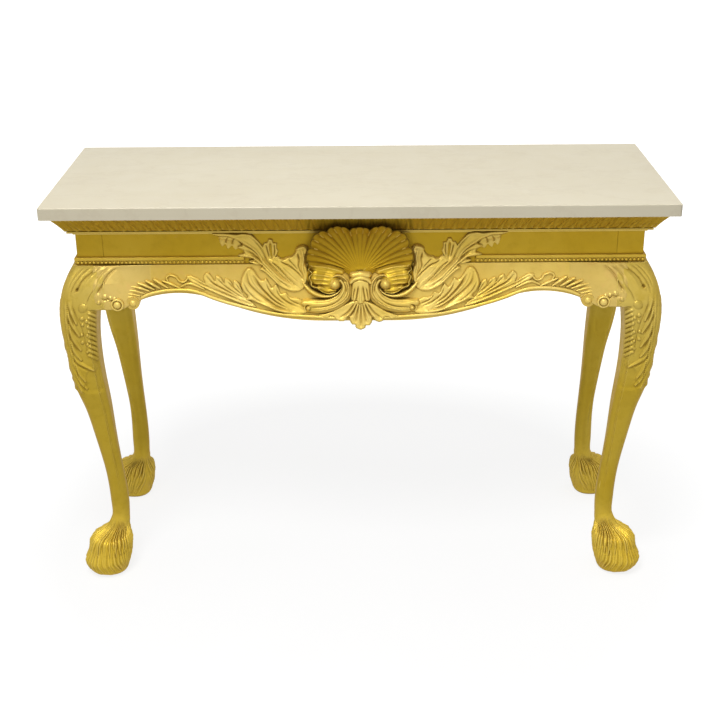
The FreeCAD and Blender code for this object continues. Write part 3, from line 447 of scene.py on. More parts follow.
# Leaf of uneven tone with patches, rubbed through to the bole, worn and given a painted highlight on edges,
# dirty and given painted shade in hollows and crevices
TONE_NOISE = (6.0,)
TONE_STOPS = ((0.35, 0.0), (0.68, 1.0))
PATCH_NOISE = (60.0, 6.0, 0.65)
PATCH_STOPS = ((0.5, 0.0), (0.75, 0.5))
PATCH_SHADE = 0.85
RUBBED_NOISE = (28.0, 8.0, 0.7)
RUBBED_STOPS = ((0.66, 0.0), (0.84, 0.4))
WORN_AND_HIGHLIGHT_STOPS = ((0.515, 0.0), (0.585, 0.7))
HOLLOW_DIRT_AND_SHADE_STOPS = ((0.43, 0.85), (0.495, 0.0))
CREVICE_DIRT_AND_SHADE_STOPS = ((0.25, 0.75), (0.8, 0.0))
GILT_METALLIC = 0.38
GILT_SPECULAR = 0.2
GILT_TINT = (0.85, 0.58, 0.12, 1.0)
GILT_ROUGH_NOISE = (40.0, 5.0)
GILT_ROUGH_STOPS = ((0.3, 0.32), (0.7, 0.48))
CARVED_BUMP = ((75.0, 8.0, 0.68), 0.55, 0.0016)
PLAIN_BUMP = ((160.0, 6.0, 0.7), 0.18, 0.001)
KNEE_RISE_M = (0.46, 0.66)
ANKLE_RISE_M = (0.09, 0.17)
BOLE = (0.66, 0.38, 0.13)
WORN_GOLD_AND_HIGHLIGHT = (0.95, 0.74, 0.21)
DIRT_AND_SHADE = (0.15, 0.085, 0.012)

# Cream stone with clouds, thin veins and flecks
CLOUD_NOISE = (3.2, 6.0, 0.6)
CLOUD_STOPS = ((0.3, 0.0), (0.75, 1.0))
CLOUD_COLOURS = ((0.70, 0.64, 0.48), (0.65, 0.585, 0.43))
STONE_VEIN_NOISE = (5.0, 9.0, 0.62, (1.0, 2.4, 1.0))
STONE_VEIN_STOPS = ((0.475, 0.0), (0.5, 0.16), (0.525, 0.0))
STONE_VEIN_COLOUR = (0.52, 0.44, 0.31)
FLECK_NOISE = (130.0, 3.0)
FLECK_STOPS = ((0.6, 0.0), (0.72, 0.3))
FLECK_COLOUR = (0.70, 0.64, 0.50)
STONE_ROUGH_NOISE = (22.0,)
STONE_ROUGH_STOPS = ((0.3, 0.42), (0.7, 0.56))
STONE_BUMP = ((240.0, 4.0), 0.08, 0.001)

# Softwood and steel
GRAIN_NOISE = (16.0, 7.0, 0.6, (0.12, 3.0, 3.0))
GRAIN_COLOURS = ((0.3, (0.33, 0.20, 0.10)), (0.7, (0.52, 0.36, 0.20)))
GRAIN_ROUGH_STOPS = ((0.3, 0.6), (0.7, 0.8))
GRAIN_BUMP = (0.3, 0.001)
STEEL_NOISE = (300.0, 5.0)
STEEL_COLOURS = ((0.35, (0.32, 0.31, 0.30)), (0.7, (0.52, 0.51, 0.49)))
STEEL_ROUGH_STOPS = ((0.3, 0.3), (0.7, 0.5))


class Shader:
    """Short names for building a material out of nodes."""

    def __init__(self, name):
        self.material = bpy.data.materials.new(name)
        self.material.use_nodes = True
        self.tree = self.material.node_tree
        self.surface = self.tree.nodes["Principled BSDF"]
        self.place = self.add("TexCoord").outputs["Object"]

    def add(self, kind, **settings):
        node = self.tree.nodes.new(f"ShaderNode{kind}")
        for name, value in settings.items():
            setattr(node, name, value)
        return node

    def link(self, output, target):
        self.tree.links.new(output, target)

    def feed(self, name, output):
        """Let a node's output drive an input of the surface."""
        self.link(output, self.surface.inputs[name])

    def noise(self, scale, detail=4.0, roughness=0.55, stretch=None):
        node = self.add("TexNoise")
        node.inputs["Scale"].default_value = scale
        node.inputs["Detail"].default_value = detail
        node.inputs["Roughness"].default_value = roughness
        place = self.place
        if stretch:
            mapping = self.add("Mapping")
            mapping.inputs["Scale"].default_value = stretch
            self.link(place, mapping.inputs["Vector"])
            place = mapping.outputs["Vector"]
        self.link(place, node.inputs["Vector"])
        return node.outputs["Fac"]

    def ramp(self, value, stops):
        """A colour or grey ramp: (place, colour) pairs."""
        node = self.add("ValToRGB")
        elements = node.color_ramp.elements
        while len(elements) < len(stops):
            elements.new(0.5)
        for element, (place, colour) in zip(elements, stops):
            element.position = place
            element.color = (*colour, 1.0) if isinstance(colour, tuple) else (colour, colour, colour, 1.0)
        self.link(value, node.inputs["Fac"])
        return node.outputs["Color"]

    def blend(self, share, first, second):
        """Two colours mixed by a share. Each is a node's output or a constant."""
        node = self.add("Mix", data_type="RGBA")
        self.link(share, node.inputs["Factor"])
        for number, colour in ((MIX_FIRST, first), (MIX_SECOND, second)):
            if isinstance(colour, tuple):
                node.inputs[number].default_value = (*colour, 1.0)
            else:
                self.link(colour, node.inputs[number])
        return node.outputs[MIX_RESULT]

    def rise(self, low_m, high_m):
        """How far up a spot is between two heights."""
        split = self.add("SeparateXYZ")
        self.link(self.place, split.inputs["Vector"])
        node = self.add("MapRange")
        node.inputs["From Min"].default_value = low_m
        node.inputs["From Max"].default_value = high_m
        self.link(split.outputs["Z"], node.inputs["Value"])
        return node.outputs["Result"]

    def crevice(self, distance_m):
        """How open a spot is, low in hollows: it drives the dirt and painted shade there."""
        node = self.add("AmbientOcclusion", samples=CREVICE_SAMPLES)
        node.inputs["Distance"].default_value = distance_m
        return node.outputs["AO"]

    def bump(self, height, strength, distance_m):
        node = self.add("Bump")
        node.inputs["Strength"].default_value = strength
        node.inputs["Distance"].default_value = distance_m
        self.link(height, node.inputs["Height"])
        self.feed("Normal", node.outputs["Normal"])


def gilt(name, deep, pale, bole_share, carved=True, upper=None, lower=None, dirt_and_shade_reach_m=0.01):
    """Old gilding: leaf of uneven depth, paler on carved edges where rubbed and as a painted highlight,
    brown dirt and painted shade in hollows and crevices.

    Upper and lower are the leaf's deep and pale colours over the knees and on the paws, where they differ.
    """
    shader = Shader(name)
    tone = shader.ramp(shader.noise(*TONE_NOISE), TONE_STOPS)
    leaf = shader.blend(tone, deep, pale)
    if upper:
        leaf = shader.blend(shader.rise(*KNEE_RISE_M), leaf, shader.blend(tone, *upper))
    if lower:
        leaf = shader.blend(shader.rise(*ANKLE_RISE_M), shader.blend(tone, *lower), leaf)
    patch = shader.ramp(shader.noise(*PATCH_NOISE), PATCH_STOPS)
    leaf = shader.blend(patch, leaf, tuple(PATCH_SHADE * part for part in deep))
    rubbed_stops = [(place - bole_share, share) for place, share in RUBBED_STOPS]
    leaf = shader.blend(shader.ramp(shader.noise(*RUBBED_NOISE), rubbed_stops), leaf, BOLE)
    if carved:
        point = shader.add("NewGeometry").outputs["Pointiness"]
        # Convex edges turn paler: rubbed wear and a painted highlight together
        leaf = shader.blend(shader.ramp(point, WORN_AND_HIGHLIGHT_STOPS), leaf, WORN_GOLD_AND_HIGHLIGHT)
        # Concave spots turn darker: dirt and painted shade together
        leaf = shader.blend(shader.ramp(point, HOLLOW_DIRT_AND_SHADE_STOPS), leaf, DIRT_AND_SHADE)
    # Spots that occlusion finds shut in turn darker too: dirt and painted shade in crevices and between
    # parts
    leaf = shader.blend(shader.ramp(shader.crevice(dirt_and_shade_reach_m), CREVICE_DIRT_AND_SHADE_STOPS), leaf, DIRT_AND_SHADE)
    shader.feed("Base Color", leaf)
    shader.surface.inputs["Metallic"].default_value = GILT_METALLIC
    shader.surface.inputs["Specular IOR Level"].default_value = GILT_SPECULAR
    shader.surface.inputs["Specular Tint"].default_value = GILT_TINT
    shader.feed("Roughness", shader.ramp(shader.noise(*GILT_ROUGH_NOISE), GILT_ROUGH_STOPS))
    grain, strength, depth_m = CARVED_BUMP if carved else PLAIN_BUMP
    shader.bump(shader.noise(*grain), strength, depth_m)
    return shader.material


def stone():
    """Honed cream stone with faint clouds and thin veins."""
    shader = Shader("stone")
    colour = shader.blend(shader.ramp(shader.noise(*CLOUD_NOISE), CLOUD_STOPS), *CLOUD_COLOURS)
    vein = shader.ramp(shader.noise(*STONE_VEIN_NOISE), STONE_VEIN_STOPS)
    colour = shader.blend(vein, colour, STONE_VEIN_COLOUR)
    colour = shader.blend(shader.ramp(shader.noise(*FLECK_NOISE), FLECK_STOPS), colour, FLECK_COLOUR)
    shader.feed("Base Color", colour)
    shader.feed("Roughness", shader.ramp(shader.noise(*STONE_ROUGH_NOISE), STONE_ROUGH_STOPS))
    grain, strength, depth_m = STONE_BUMP
    shader.bump(shader.noise(*grain), strength, depth_m)
    return shader.material


def bare_wood():
    """Sawn softwood of the hidden blocks and battens, with grain along x."""
    shader = Shader("bare_wood")
    grain = shader.noise(*GRAIN_NOISE)
    shader.feed("Base Color", shader.ramp(grain, GRAIN_COLOURS))
    shader.feed("Roughness", shader.ramp(grain, GRAIN_ROUGH_STOPS))
    shader.bump(grain, *GRAIN_BUMP)
    return shader.material


def screw_steel():
    """Steel of the screws, unevenly dulled."""
    shader = Shader("screw_steel")
    wear = shader.noise(*STEEL_NOISE)
    shader.feed("Base Color", shader.ramp(wear, STEEL_COLOURS))
    shader.feed("Roughness", shader.ramp(wear, STEEL_ROUGH_STOPS))
    shader.surface.inputs["Metallic"].default_value = 1.0
    return shader.material


# Gildings: the leaf's deep and pale colours, then how much bole shows
# The cornice's dark crevice colour reaches 30 mm, so it paints the stone's shadow on the cornice under the
# slab
GILT_FRAME = gilt("gilt_frame", (0.48, 0.295, 0.018), (0.54, 0.342, 0.028), 0.0, dirt_and_shade_reach_m=0.03)
GILT_LEGS = gilt("gilt_legs", (0.53, 0.358, 0.026), (0.58, 0.41, 0.046), 0.0,
                 upper=((0.54, 0.38, 0.06), (0.59, 0.44, 0.10)),
                 lower=((0.70, 0.475, 0.042), (0.77, 0.555, 0.075)))
GILT_CARVING = gilt("gilt_carving", (0.75, 0.525, 0.085), (0.87, 0.655, 0.20), 0.05)
# The shell's gilding is a darker copy: painted shade for its hollow, downward-facing dish
GILT_SHELL_SHADED = gilt("gilt_shell_painted_shade", (0.45, 0.272, 0.012), (0.52, 0.33, 0.022), 0.0)
GILT_WING = gilt("gilt_wing", (0.58, 0.38, 0.028), (0.66, 0.45, 0.06), 0.0)
GILT_RAIL = gilt("gilt_rail", (0.51, 0.325, 0.02), (0.55, 0.36, 0.03), 0.0, carved=False)
# The bead's gilding is a lighter copy of the rail's: painted light on pearls that lie in the fillet's
# shadow
GILT_BEAD_PAINTED_LIGHT = gilt("gilt_bead_painted_light", (0.66, 0.445, 0.05), (0.74, 0.52, 0.085), 0.0, carved=False)
GILT_EAR = gilt("gilt_ear", (0.59, 0.415, 0.095), (0.64, 0.47, 0.14), 0.11, carved=False)
GILT_APRON = gilt("gilt_apron", (0.635, 0.435, 0.085), (0.685, 0.50, 0.125), 0.12, carved=False)
MATERIALS = {
    "stone": stone(),
    "gilt_frame": GILT_RAIL,
    "gilt_legs": GILT_LEGS,
    "gilt_carving": GILT_CARVING,
    "bare_wood": bare_wood(),
    "screw_steel": screw_steel(),
}


def dress_nodes():
    """Each CAD node takes the material of its slot in the record, and the aprons a gilding of their own."""
    for part in frame["record"]["subparts"]:
        mesh = frame["nodes"][part["node"]].data
        mesh.materials.clear()
        apron = part["node"].startswith("apron_") and part["material_slot"] == "gilt_legs"
        mesh.materials.append(GILT_APRON if apron else MATERIALS[part["material_slot"]])


# Shell

SHELL_FLUTES = 27
SHELL_LOBES = 9
SHELL_SPREAD = math.radians(103.0)
SHELL_HINGE_LEVEL = -18.5
SHELL_HINGE_RADIUS = 9.0
SHELL_HINGE_STAND = 20.0
SHELL_RADIUS = 107.0
SHELL_LOBE_DEPTH = 7.0
SHELL_LOBE_POWER = 1.5
SHELL_SCALLOP = 0.8
SHELL_RIM_STAND = 40.0
SHELL_SIDE_STAND = 27.0
SHELL_STAND_POWER = 1.4
SHELL_DISH = 15.0
SHELL_SHOULDER_SHARE = 0.2
SHELL_FLUTE_DEPTH_SHARE = 0.30
SHELL_FLUTE_TOP_SHARE = 0.6
SHELL_FLUTE_POWER = 0.6
SHELL_FLUTE_START = 8.0
SHELL_RINGS = 36
SHELL_STEPS_PER_FLUTE = 10
SHELL_LET_IN = 1.0
# The back's rows: how far each draws in from the rim towards the hinge, and how deep it lies behind the rim
SHELL_BACK = ((0.012, 1.5), (0.03, 3.0), (0.12, 9.0), (0.24, 22.0), (0.33, 60.0))


def shell_rim(turn):
    """Radius of the rim: broad lobes that meet in cusps, each faintly cut into scallops."""
    lobe = 1.0 - np.abs(np.sin(math.pi * SHELL_LOBES * turn))
    scallop = 0.5 + 0.5 * np.cos(2.0 * math.pi * SHELL_FLUTES * turn)
    angle = SHELL_SPREAD * (1.0 - 2.0 * turn)
    radius = SHELL_RADIUS * (1.0 + SHELL_SHOULDER_SHARE * np.sin(2.0 * angle) ** 2)
    return radius - SHELL_LOBE_DEPTH * lobe ** SHELL_LOBE_POWER - SHELL_SCALLOP * scallop


def shell_surface(ring, turn):
    """Points of the dished, fluted face: ring from hinge to rim, turn from the right edge to the left."""
    angle = SHELL_SPREAD * (1.0 - 2.0 * turn)
    flute = np.abs(np.sin(math.pi * SHELL_FLUTES * turn)) ** SHELL_FLUTE_POWER
    reach = SHELL_HINGE_RADIUS + (shell_rim(turn) - SHELL_HINGE_RADIUS) * ring
    top = np.clip(np.cos(angle), 0.0, 1.0)
    rim_stand = SHELL_SIDE_STAND + (SHELL_RIM_STAND - SHELL_SIDE_STAND) * top
    stand = SHELL_HINGE_STAND + (rim_stand - SHELL_HINGE_STAND) * ring ** SHELL_STAND_POWER
    stand = stand - 4.0 * SHELL_DISH * ring * (1.0 - ring)
    pitch = 2.0 * SHELL_SPREAD * reach / SHELL_FLUTES
    sideways = SHELL_FLUTE_TOP_SHARE + (1.0 - SHELL_FLUTE_TOP_SHARE) * np.abs(np.sin(angle))
    depth = SHELL_FLUTE_DEPTH_SHARE * pitch * sideways
    stand = stand - depth * (flute - 0.5) * smooth(SHELL_FLUTE_START * ring)
    return reach * np.sin(angle), reach * np.cos(angle) + SHELL_HINGE_LEVEL, stand


def make_shell():
    """The fan from its hinge out to the rim, back behind the rim and down to the hinge again."""
    turns = np.linspace(0.0, 1.0, SHELL_FLUTES * SHELL_STEPS_PER_FLUTE + 1)
    rows = []
    for ring in np.linspace(0.0, 1.0, SHELL_RINGS + 1):
        x, up, stand = shell_surface(np.full_like(turns, ring), turns)
        rows.append(np.stack([x, FRIEZE_Y - stand, FOOT + up], axis=-1))
    for share, depth in SHELL_BACK:
        back = np.minimum(FRIEZE_Y + SHELL_LET_IN, FRIEZE_Y - stand + depth)
        drawn_up = SHELL_HINGE_LEVEL + (up - SHELL_HINGE_LEVEL) * (1.0 - share)
        rows.append(np.stack([x * (1.0 - share), back, FOOT + drawn_up], axis=-1))
    hinge = rows[0].copy()
    hinge[:, 1] = FRIEZE_Y + SHELL_LET_IN
    rows += [hinge, rows[0]]
    faces = grid_faces(len(rows), len(turns))
    mesh_piece("shell_fan", np.concatenate(rows), faces, GILT_SHELL_SHADED, ["shell"])


# The carved front, in photo pixels on its left half. A leaf has a dish, a shoulder and an outline whose
# points also say how far the edge stands off the ground; a vein has a depth, a half width and its points;
# a band has its kind, half widths and heights before its points.

FRIEZE_LEAVES = (
    (2.0, 4.5, (
        (300, 290, 6), (292, 292.5, 8), (284, 290.5, 10), (277, 286.5, 12), (270, 280, 13),
        (263, 273.5, 13), (257, 270, 11), (260, 266.5, 9), (253, 264, 10), (247, 261.5, 9),
        (251, 259.5, 8), (243, 258, 11), (236, 256, 9), (242, 253, 8), (240, 250.5, 9), (235, 247.5, 11),
        (240, 245, 11), (236, 241.5, 12), (231, 239.5, 15), (226, 237.5, 16), (217, 237, 14),
        (209, 234, 10), (216, 232.5, 13), (226, 233, 16), (234, 234, 16), (241, 233, 14), (249, 235, 11),
        (255, 240.5, 9), (260, 246.5, 8), (264, 254, 6), (269, 261, 5), (276, 268, 4), (285, 277, 4),
        (294, 284, 5),
    )),
    (0.0, 8.0, (
        (217, 236.5, 11), (217.5, 241, 4), (220, 246.5, 3), (223.5, 244.5, 3), (226, 249, 3),
        (230, 246, 3), (233.5, 249.5, 3), (238.5, 246.5, 4), (238, 240, 8), (230, 237, 12),
        (224, 236, 12),
    )),
    (1.0, 3.0, (
        (262, 252, 5), (260.5, 247, 6), (262.5, 243, 7), (265, 242.5, 5), (266.5, 239.5, 8),
        (270, 240, 8), (271.5, 243, 5), (274.5, 243.5, 7), (274.5, 248, 5), (276, 252, 6), (273, 258, 6),
        (269, 264, 5), (265, 258, 5),
    )),
    (3.0, 4.5, (
        (275, 256.5, 9), (280, 259.5, 10), (285, 257.5, 10), (290, 256.5, 11), (293.5, 252.5, 12),
        (294, 249, 13), (298, 246.5, 15), (303, 246.5, 16), (306, 250, 15), (304, 256, 13),
        (303.5, 263, 12), (305.5, 270, 12), (306.5, 277, 12), (304, 284, 9), (300, 290, 7), (293, 285, 5),
        (284, 276, 5), (276, 267, 6), (270, 261, 6),
    )),
)
FRIEZE_VEINS = (
    (2.2, 2.4, ((238, 240), (247, 246), (254, 252), (260, 260), (268, 270), (280, 281), (291, 288))),
    (-2.4, 2.0, ((247, 236.5), (254, 243), (260, 251), (265, 261), (273, 270), (284, 280), (294, 287))),
    (-2.4, 2.0, ((241, 250.5), (250, 254), (258, 261), (266, 270), (277, 281), (288, 289))),
    (-2.0, 1.8, ((246, 259), (254, 261.5), (262, 269), (272, 279), (283, 288))),
    (1.6, 2.0, ((240, 255), (252, 258), (261, 265.5), (271, 275.5), (283, 285))),
    (-1.8, 1.6, ((236, 242), (243, 246), (251, 251), (257, 257))),
    (-2.4, 2.0, ((276, 258.5), (281, 263), (288, 267.5), (296, 274), (302, 281))),
    (2.0, 2.2, ((299.5, 249), (301.5, 258), (300.5, 268), (303, 279))),
    (-2.0, 1.8, ((295, 251), (297, 260), (296.5, 268), (301, 277))),
    (-1.6, 1.6, ((286, 259), (291, 265), (297, 272))),
    (-1.5, 1.6, ((272, 265), (281, 275), (293, 286))),
    (1.3, 1.8, ((279, 268), (288, 277), (298, 286))),
    (-3.0, 2.2, ((268, 244), (268.5, 251), (269.5, 259))),
    (-2.0, 1.4, ((264, 246), (265.5, 252), (267.5, 259))),
    (-2.0, 1.4, ((272, 245), (272.5, 251), (271.5, 258))),
    (-2.0, 1.8, ((225.5, 237.5), (224, 241), (223.5, 244.5))),
    (-2.0, 1.8, ((232, 238.5), (230.5, 242), (230, 246))),
)
APRON_LEAVES = (
    (2.5, 5.0, (
        (303, 314, 6), (288, 315, 8), (275, 312, 11), (264, 307.5, 12), (256, 304.5, 12),
        (250, 301.5, 11), (244, 300.5, 10), (246, 297, 9), (242, 293, 12), (239, 287, 15), (239, 281, 15),
        (241, 275, 14), (244, 270, 13), (248, 268.5, 12), (252, 271, 10), (255, 276, 9), (260, 281, 8),
        (264, 279.5, 10), (267, 284, 9), (270, 288, 7), (274, 285.5, 9), (277, 290, 8), (279, 294, 6),
        (284, 293.5, 8), (288, 298, 7), (296, 299, 6), (303, 303, 5), (305, 309, 5),
    )),
)
APRON_VEINS = (
    (-2.6, 2.2, ((245, 274), (247, 284), (254, 292), (264, 300), (276, 308), (290, 312))),
    (-2.4, 2.0, ((252, 277), (258, 287), (265, 295), (274, 303), (286, 309.5))),
    (1.8, 2.2, ((248.5, 274), (253, 284), (261, 293), (270, 301.5), (282, 308.5))),
    (-2.0, 1.8, ((264, 283), (267, 291), (274, 299), (284, 306))),
    (-2.0, 1.8, ((274, 288), (277, 296), (285, 303), (295, 308))),
    (-1.8, 1.6, ((284, 296), (289, 301.5), (298, 306))),
    (1.6, 2.0, ((257, 303), (268, 308), (280, 312), (293, 313.5))),
    (-1.6, 1.6, ((242, 284), (246, 292), (253, 299), (262, 304.5))),
)
FROND_LEAVES = (
    (1.0, 4.0, (
        (254, 308, 6), (240, 304.5, 8), (228, 300, 8), (216, 295, 8), (206, 290.5, 8), (196, 285.5, 8),
        (188, 282, 7), (184, 277, 7), (189, 276, 7), (196, 279.5, 7), (203, 283.5, 5), (201, 277.5, 7),
        (205, 273, 8), (209, 276, 7), (213, 281.5, 5), (214, 276.5, 7), (219, 278.5, 8), (222, 283.5, 5),
        (223, 279, 7), (229, 282.5, 8), (231, 287, 5), (232, 281, 7), (237, 284, 8), (240, 291, 6),
        (243, 297.5, 6), (250, 302.5, 5),
    )),
)
FROND_VEINS = (
    (-2.2, 2.0, ((189, 279), (203, 286.5), (218, 293), (234, 299.5), (249, 305.5))),
    (-2.0, 1.8, ((204, 277), (212, 285), (226, 292.5), (241, 300.5))),
    (-2.0, 1.8, ((215, 280), (224, 288), (234, 295), (244, 300.5))),
    (-2.0, 1.8, ((225, 282), (233, 290), (243, 298))),
    (-1.6, 1.6, ((234, 285), (239, 292), (246, 300))),
    (1.6, 1.8, ((207, 284), (220, 291), (235, 298))),
)
FROND_BANDS = (
    ("round", (2.4, 3.0, 2.4), (4, 6, 5),
     (186, 278), (183, 282), (178, 282), (174, 277.5), (168, 275.5), (164.5, 278), (166, 282)),
    ("round", (2.5, 4.0, 2.5), (4, 6, 4), (202, 289.5), (192, 285), (186, 284), (179, 287)),
)
GADROON_RIB = ("round", (3.0, 4.4, 2.4), (6, 8, 5))
GADROON_BANDS = (
    ("round", (3.0, 4.6, 2.6), (6, 8, 5), (122, 297.5), (128, 297.5), (134, 298)),
    (*GADROON_RIB, (121.5, 293.5), (129, 294.5), (138, 296.5)),
    (*GADROON_RIB, (125, 290.5), (133, 291.5), (142, 294)),
    (*GADROON_RIB, (130, 287), (138, 288.5), (147, 291.5)),
    (*GADROON_RIB, (136, 283.5), (143, 286), (152, 290)),
    (*GADROON_RIB, (144, 281.5), (150, 284.5), (158, 289)),
    ("round", (3.0, 4.2, 2.4), (5, 7, 5), (152, 280), (158, 283.5), (166, 288.5)),
    ("round", (2.6, 3.8, 2.2), (4, 6, 4), (161, 281.5), (168, 284), (178, 288.5)),
)
EDGE_PATH = (
    (137, 300), (142, 296.8), (150, 293.8), (160, 291.7), (170, 290.6), (180, 290.4), (190, 291.2),
    (200, 294), (212, 298.6), (225, 302.8), (240, 306.8), (255, 310.3), (270, 313.4), (285, 315.4),
    (303, 316.6), (318, 317.5), (330, 318.2), (341, 318.6),
)
EDGE_HALF_WIDTH = 4.4
EDGE_RISE = 6.0
SCROLL_BANDS = (
    ("round", (11.0, 14.0, 15.0, 16.0, 17.0, 16.0, 15.0, 12.0), (12, 13, 13, 13, 13, 12, 11, 8),
     (333, 281.5), (340, 279.5), (344.5, 285), (344.5, 293), (339, 300), (330, 305), (318, 307.5),
     (306, 308)),
    ("round", (8.0, 11.5, 11.5, 11.5, 11.0, 9.0, 7.0, 6.0), (10, 13, 14, 15, 16, 17, 18, 18),
     (302, 304.5), (311, 305.3), (322, 304.8), (331, 302.3), (338, 297.8), (342, 291), (342, 285.5),
     (339, 281.5)),
    ("round", (14.0, 14.0), (25, 25), (332.8, 286)),
    ("round", (1.8, 2.8, 3.2, 3.2, 3.2, 3.2, 3.2, 3.0, 2.8, 2.4, 2.0),
     (16, 18, 19, 19, 19, 18, 17, 16, 14, 12, 9),
     (328.8, 284), (330.2, 279), (335, 276.6), (340.5, 277.6), (345.2, 282.4), (347, 290), (346, 297),
     (340.6, 303), (331, 308.4), (320, 311.3), (309, 312.5)),
    ("round", (6.5, 6.5), (14, 14), (306.5, 309.3)),
)
SCROLL_VEINS = (
    (-2.2, 1.2, ((329.4, 290.4), (332.8, 292), (336.8, 289.4))),
    (-2.6, 1.2, ((329.8, 283), (332.4, 279.8), (336.2, 278.8), (340.6, 280.8), (343.4, 286), (344.4, 292))),
    (-2.0, 1.2, ((308.6, 306.6), (305.4, 306.3), (303.6, 309), (305, 312))),
    (-1.7, 1.4, ((311, 308.2), (320, 307.8), (330, 305), (338, 299.6), (342.6, 292), (342.6, 287))),
    (-1.3, 1.3, ((308, 302.4), (318, 303), (328, 301.4), (335.6, 297), (339.6, 291.6))),
)
HORN_BANDS = (
    ("round", (1.6, 3.2, 4.4, 5.8, 7.0, 6.0, 3.0), (13, 16, 17, 17, 16, 13, 9),
     (339, 290.3), (334.5, 294.6), (327, 297), (318, 296.3), (310, 292.8), (304.5, 288), (301, 284)),
)
SHELL_WING_BANDS = (
    ("round", (10.0, 11.0, 8.0), (19, 10, 12), (311, 267.5), (325, 270), (339, 273.5)),
    ("round", (22.0, 24.0, 22.0), (19, 13, 16), (314, 277.5), (322, 280), (329, 282)),
    ("round", (7.0, 8.0, 6.0), (15, 14, 14), (317, 288.5), (325, 291.5), (333, 291)),
    ("round", (2.2, 2.2, 2.2, 2.0, 1.8), (23, 22, 21, 18, 16),
     (308.5, 264), (310.6, 267), (307, 270.5), (310.2, 274.5), (307.4, 278.5), (309.4, 283), (310, 287),
     (316, 289.6), (321, 293.3), (327, 295), (333, 293.8)),
)
SHELL_WING_VEINS = (
    (1.7, 1.8, ((310, 265), (325, 268), (340, 272))),
    (1.7, 1.8, ((310, 269.5), (322, 271.8), (334, 274.5))),
    (1.7, 1.8, ((310, 274.3), (320, 275.8), (329, 277.5))),
    (1.7, 1.8, ((310.5, 279.1), (319, 279.8), (327, 281))),
    (1.7, 1.8, ((311.5, 284), (319, 284.3), (327, 285))),
    (1.5, 1.8, ((316, 288.1), (321, 288.3), (328, 289))),
)
HINGE_BANDS = (
    ("round", (9.0, 11.0, 9.0), (16, 18, 16), (351.5, 276.5), (358.7, 275.5), (366, 276.5)),
    ("round", (6.0, 7.5, 8.0, 7.5, 6.0), (16, 18, 19, 18, 16),
     (348.6, 284), (352.4, 280.6), (358.7, 279.2), (365, 280.6), (368.8, 284)),
)
PALMETTE_LEAVES = (
    (0.0, 4.5, (
        (350, 284, 19), (354, 281.5, 22), (358.7, 280.5, 23), (363, 281.5, 22), (367.5, 284, 19),
        (368.5, 293, 16), (368.5, 300, 15), (366, 303, 16), (363, 302.5, 17), (361.5, 305, 18),
        (358.7, 306, 19), (356, 305, 18), (354.5, 302.5, 17), (351.5, 303, 16), (349, 300, 15),
        (349, 293, 16),
    )),
)
PALMETTE_VEINS = (
    (-2.4, 1.5, ((356.4, 287), (355.2, 295), (353.8, 302.5))),
    (-2.4, 1.5, ((361, 287), (362.2, 295), (363.6, 302.5))),
    (-2.0, 1.4, ((353.1, 288.5), (351.6, 295), (350.6, 301.5))),
    (-2.0, 1.4, ((364.3, 288.5), (365.8, 295), (366.8, 301.5))),
    (1.4, 1.8, ((358.7, 287), (358.7, 296), (358.7, 305))),
)
PENDANT_LEAVES = (
    (1.5, 4.0, (
        (359, 300, 13), (353, 301, 12), (347, 303, 12), (340, 306.5, 12), (332, 311, 11), (324, 314, 9),
        (317, 315.5, 7), (321, 318.2, 8), (325.5, 319.4, 9), (328, 317.2, 9), (331.5, 317.6, 10),
        (334, 320.6, 11), (338, 322.4, 12), (342, 322.2, 12), (344.5, 320.4, 11), (346.8, 318, 10),
        (348.2, 322, 11), (350.4, 325.6, 12), (353.4, 326, 11), (354.4, 329, 12), (358.7, 330.8, 12),
        (363, 329, 12), (364, 326.6, 11), (367.4, 326.4, 12), (370, 322.6, 11), (370.8, 318.6, 10),
        (373.4, 321.4, 11), (377, 323, 12), (380.6, 322, 12), (382.6, 318.4, 10), (386, 318, 10),
        (389.4, 320, 9), (394, 318.6, 8), (400, 317, 7), (393, 315, 9), (385, 312, 11), (377, 307.5, 12),
        (370, 304, 12), (364, 301.5, 12),
    )),
)
# The pendant's veins fan out from its top: depth, lean to one side and the level of each vein's foot
PENDANT_MIDDLE = 359
PENDANT_VEIN_DEPTH_SHARE = 0.75
PENDANT_VEIN_HALF_WIDTH = 1.7
PENDANT_VEIN_PATH = ((4.0, 304), (8.5, 313))
PENDANT_VEIN_REACH = 13.5
PENDANT_FAN = (
    (-2.2, -1.55, 318.5), (2.0, -1.2, 318.5), (-2.6, -0.92, 318.5), (2.0, -0.66, 321.5),
    (-1.8, -0.42, 324), (1.8, -0.2, 326), (-1.6, 0.0, 327), (1.8, 0.2, 326), (-1.8, 0.42, 324),
    (2.0, 0.66, 321.5), (-2.6, 0.92, 319.5), (2.0, 1.2, 319.5), (-2.2, 1.55, 319),
)


def pendant_veins():
    """The fan's veins as depth, half width and points."""
    veins = []
    for depth, lean, foot in PENDANT_FAN:
        path = (*PENDANT_VEIN_PATH, (PENDANT_VEIN_REACH, foot))
        pixels = [(PENDANT_MIDDLE + reach * lean, level) for reach, level in path]
        veins.append((PENDANT_VEIN_DEPTH_SHARE * depth, PENDANT_VEIN_HALF_WIDTH, pixels))
    return veins


EDGE_STEPS = 200
EDGE_SECTION_STEPS = 13
EDGE_TAPER_STEPS = 4.0
EDGE_TIP_SHARE = 0.15


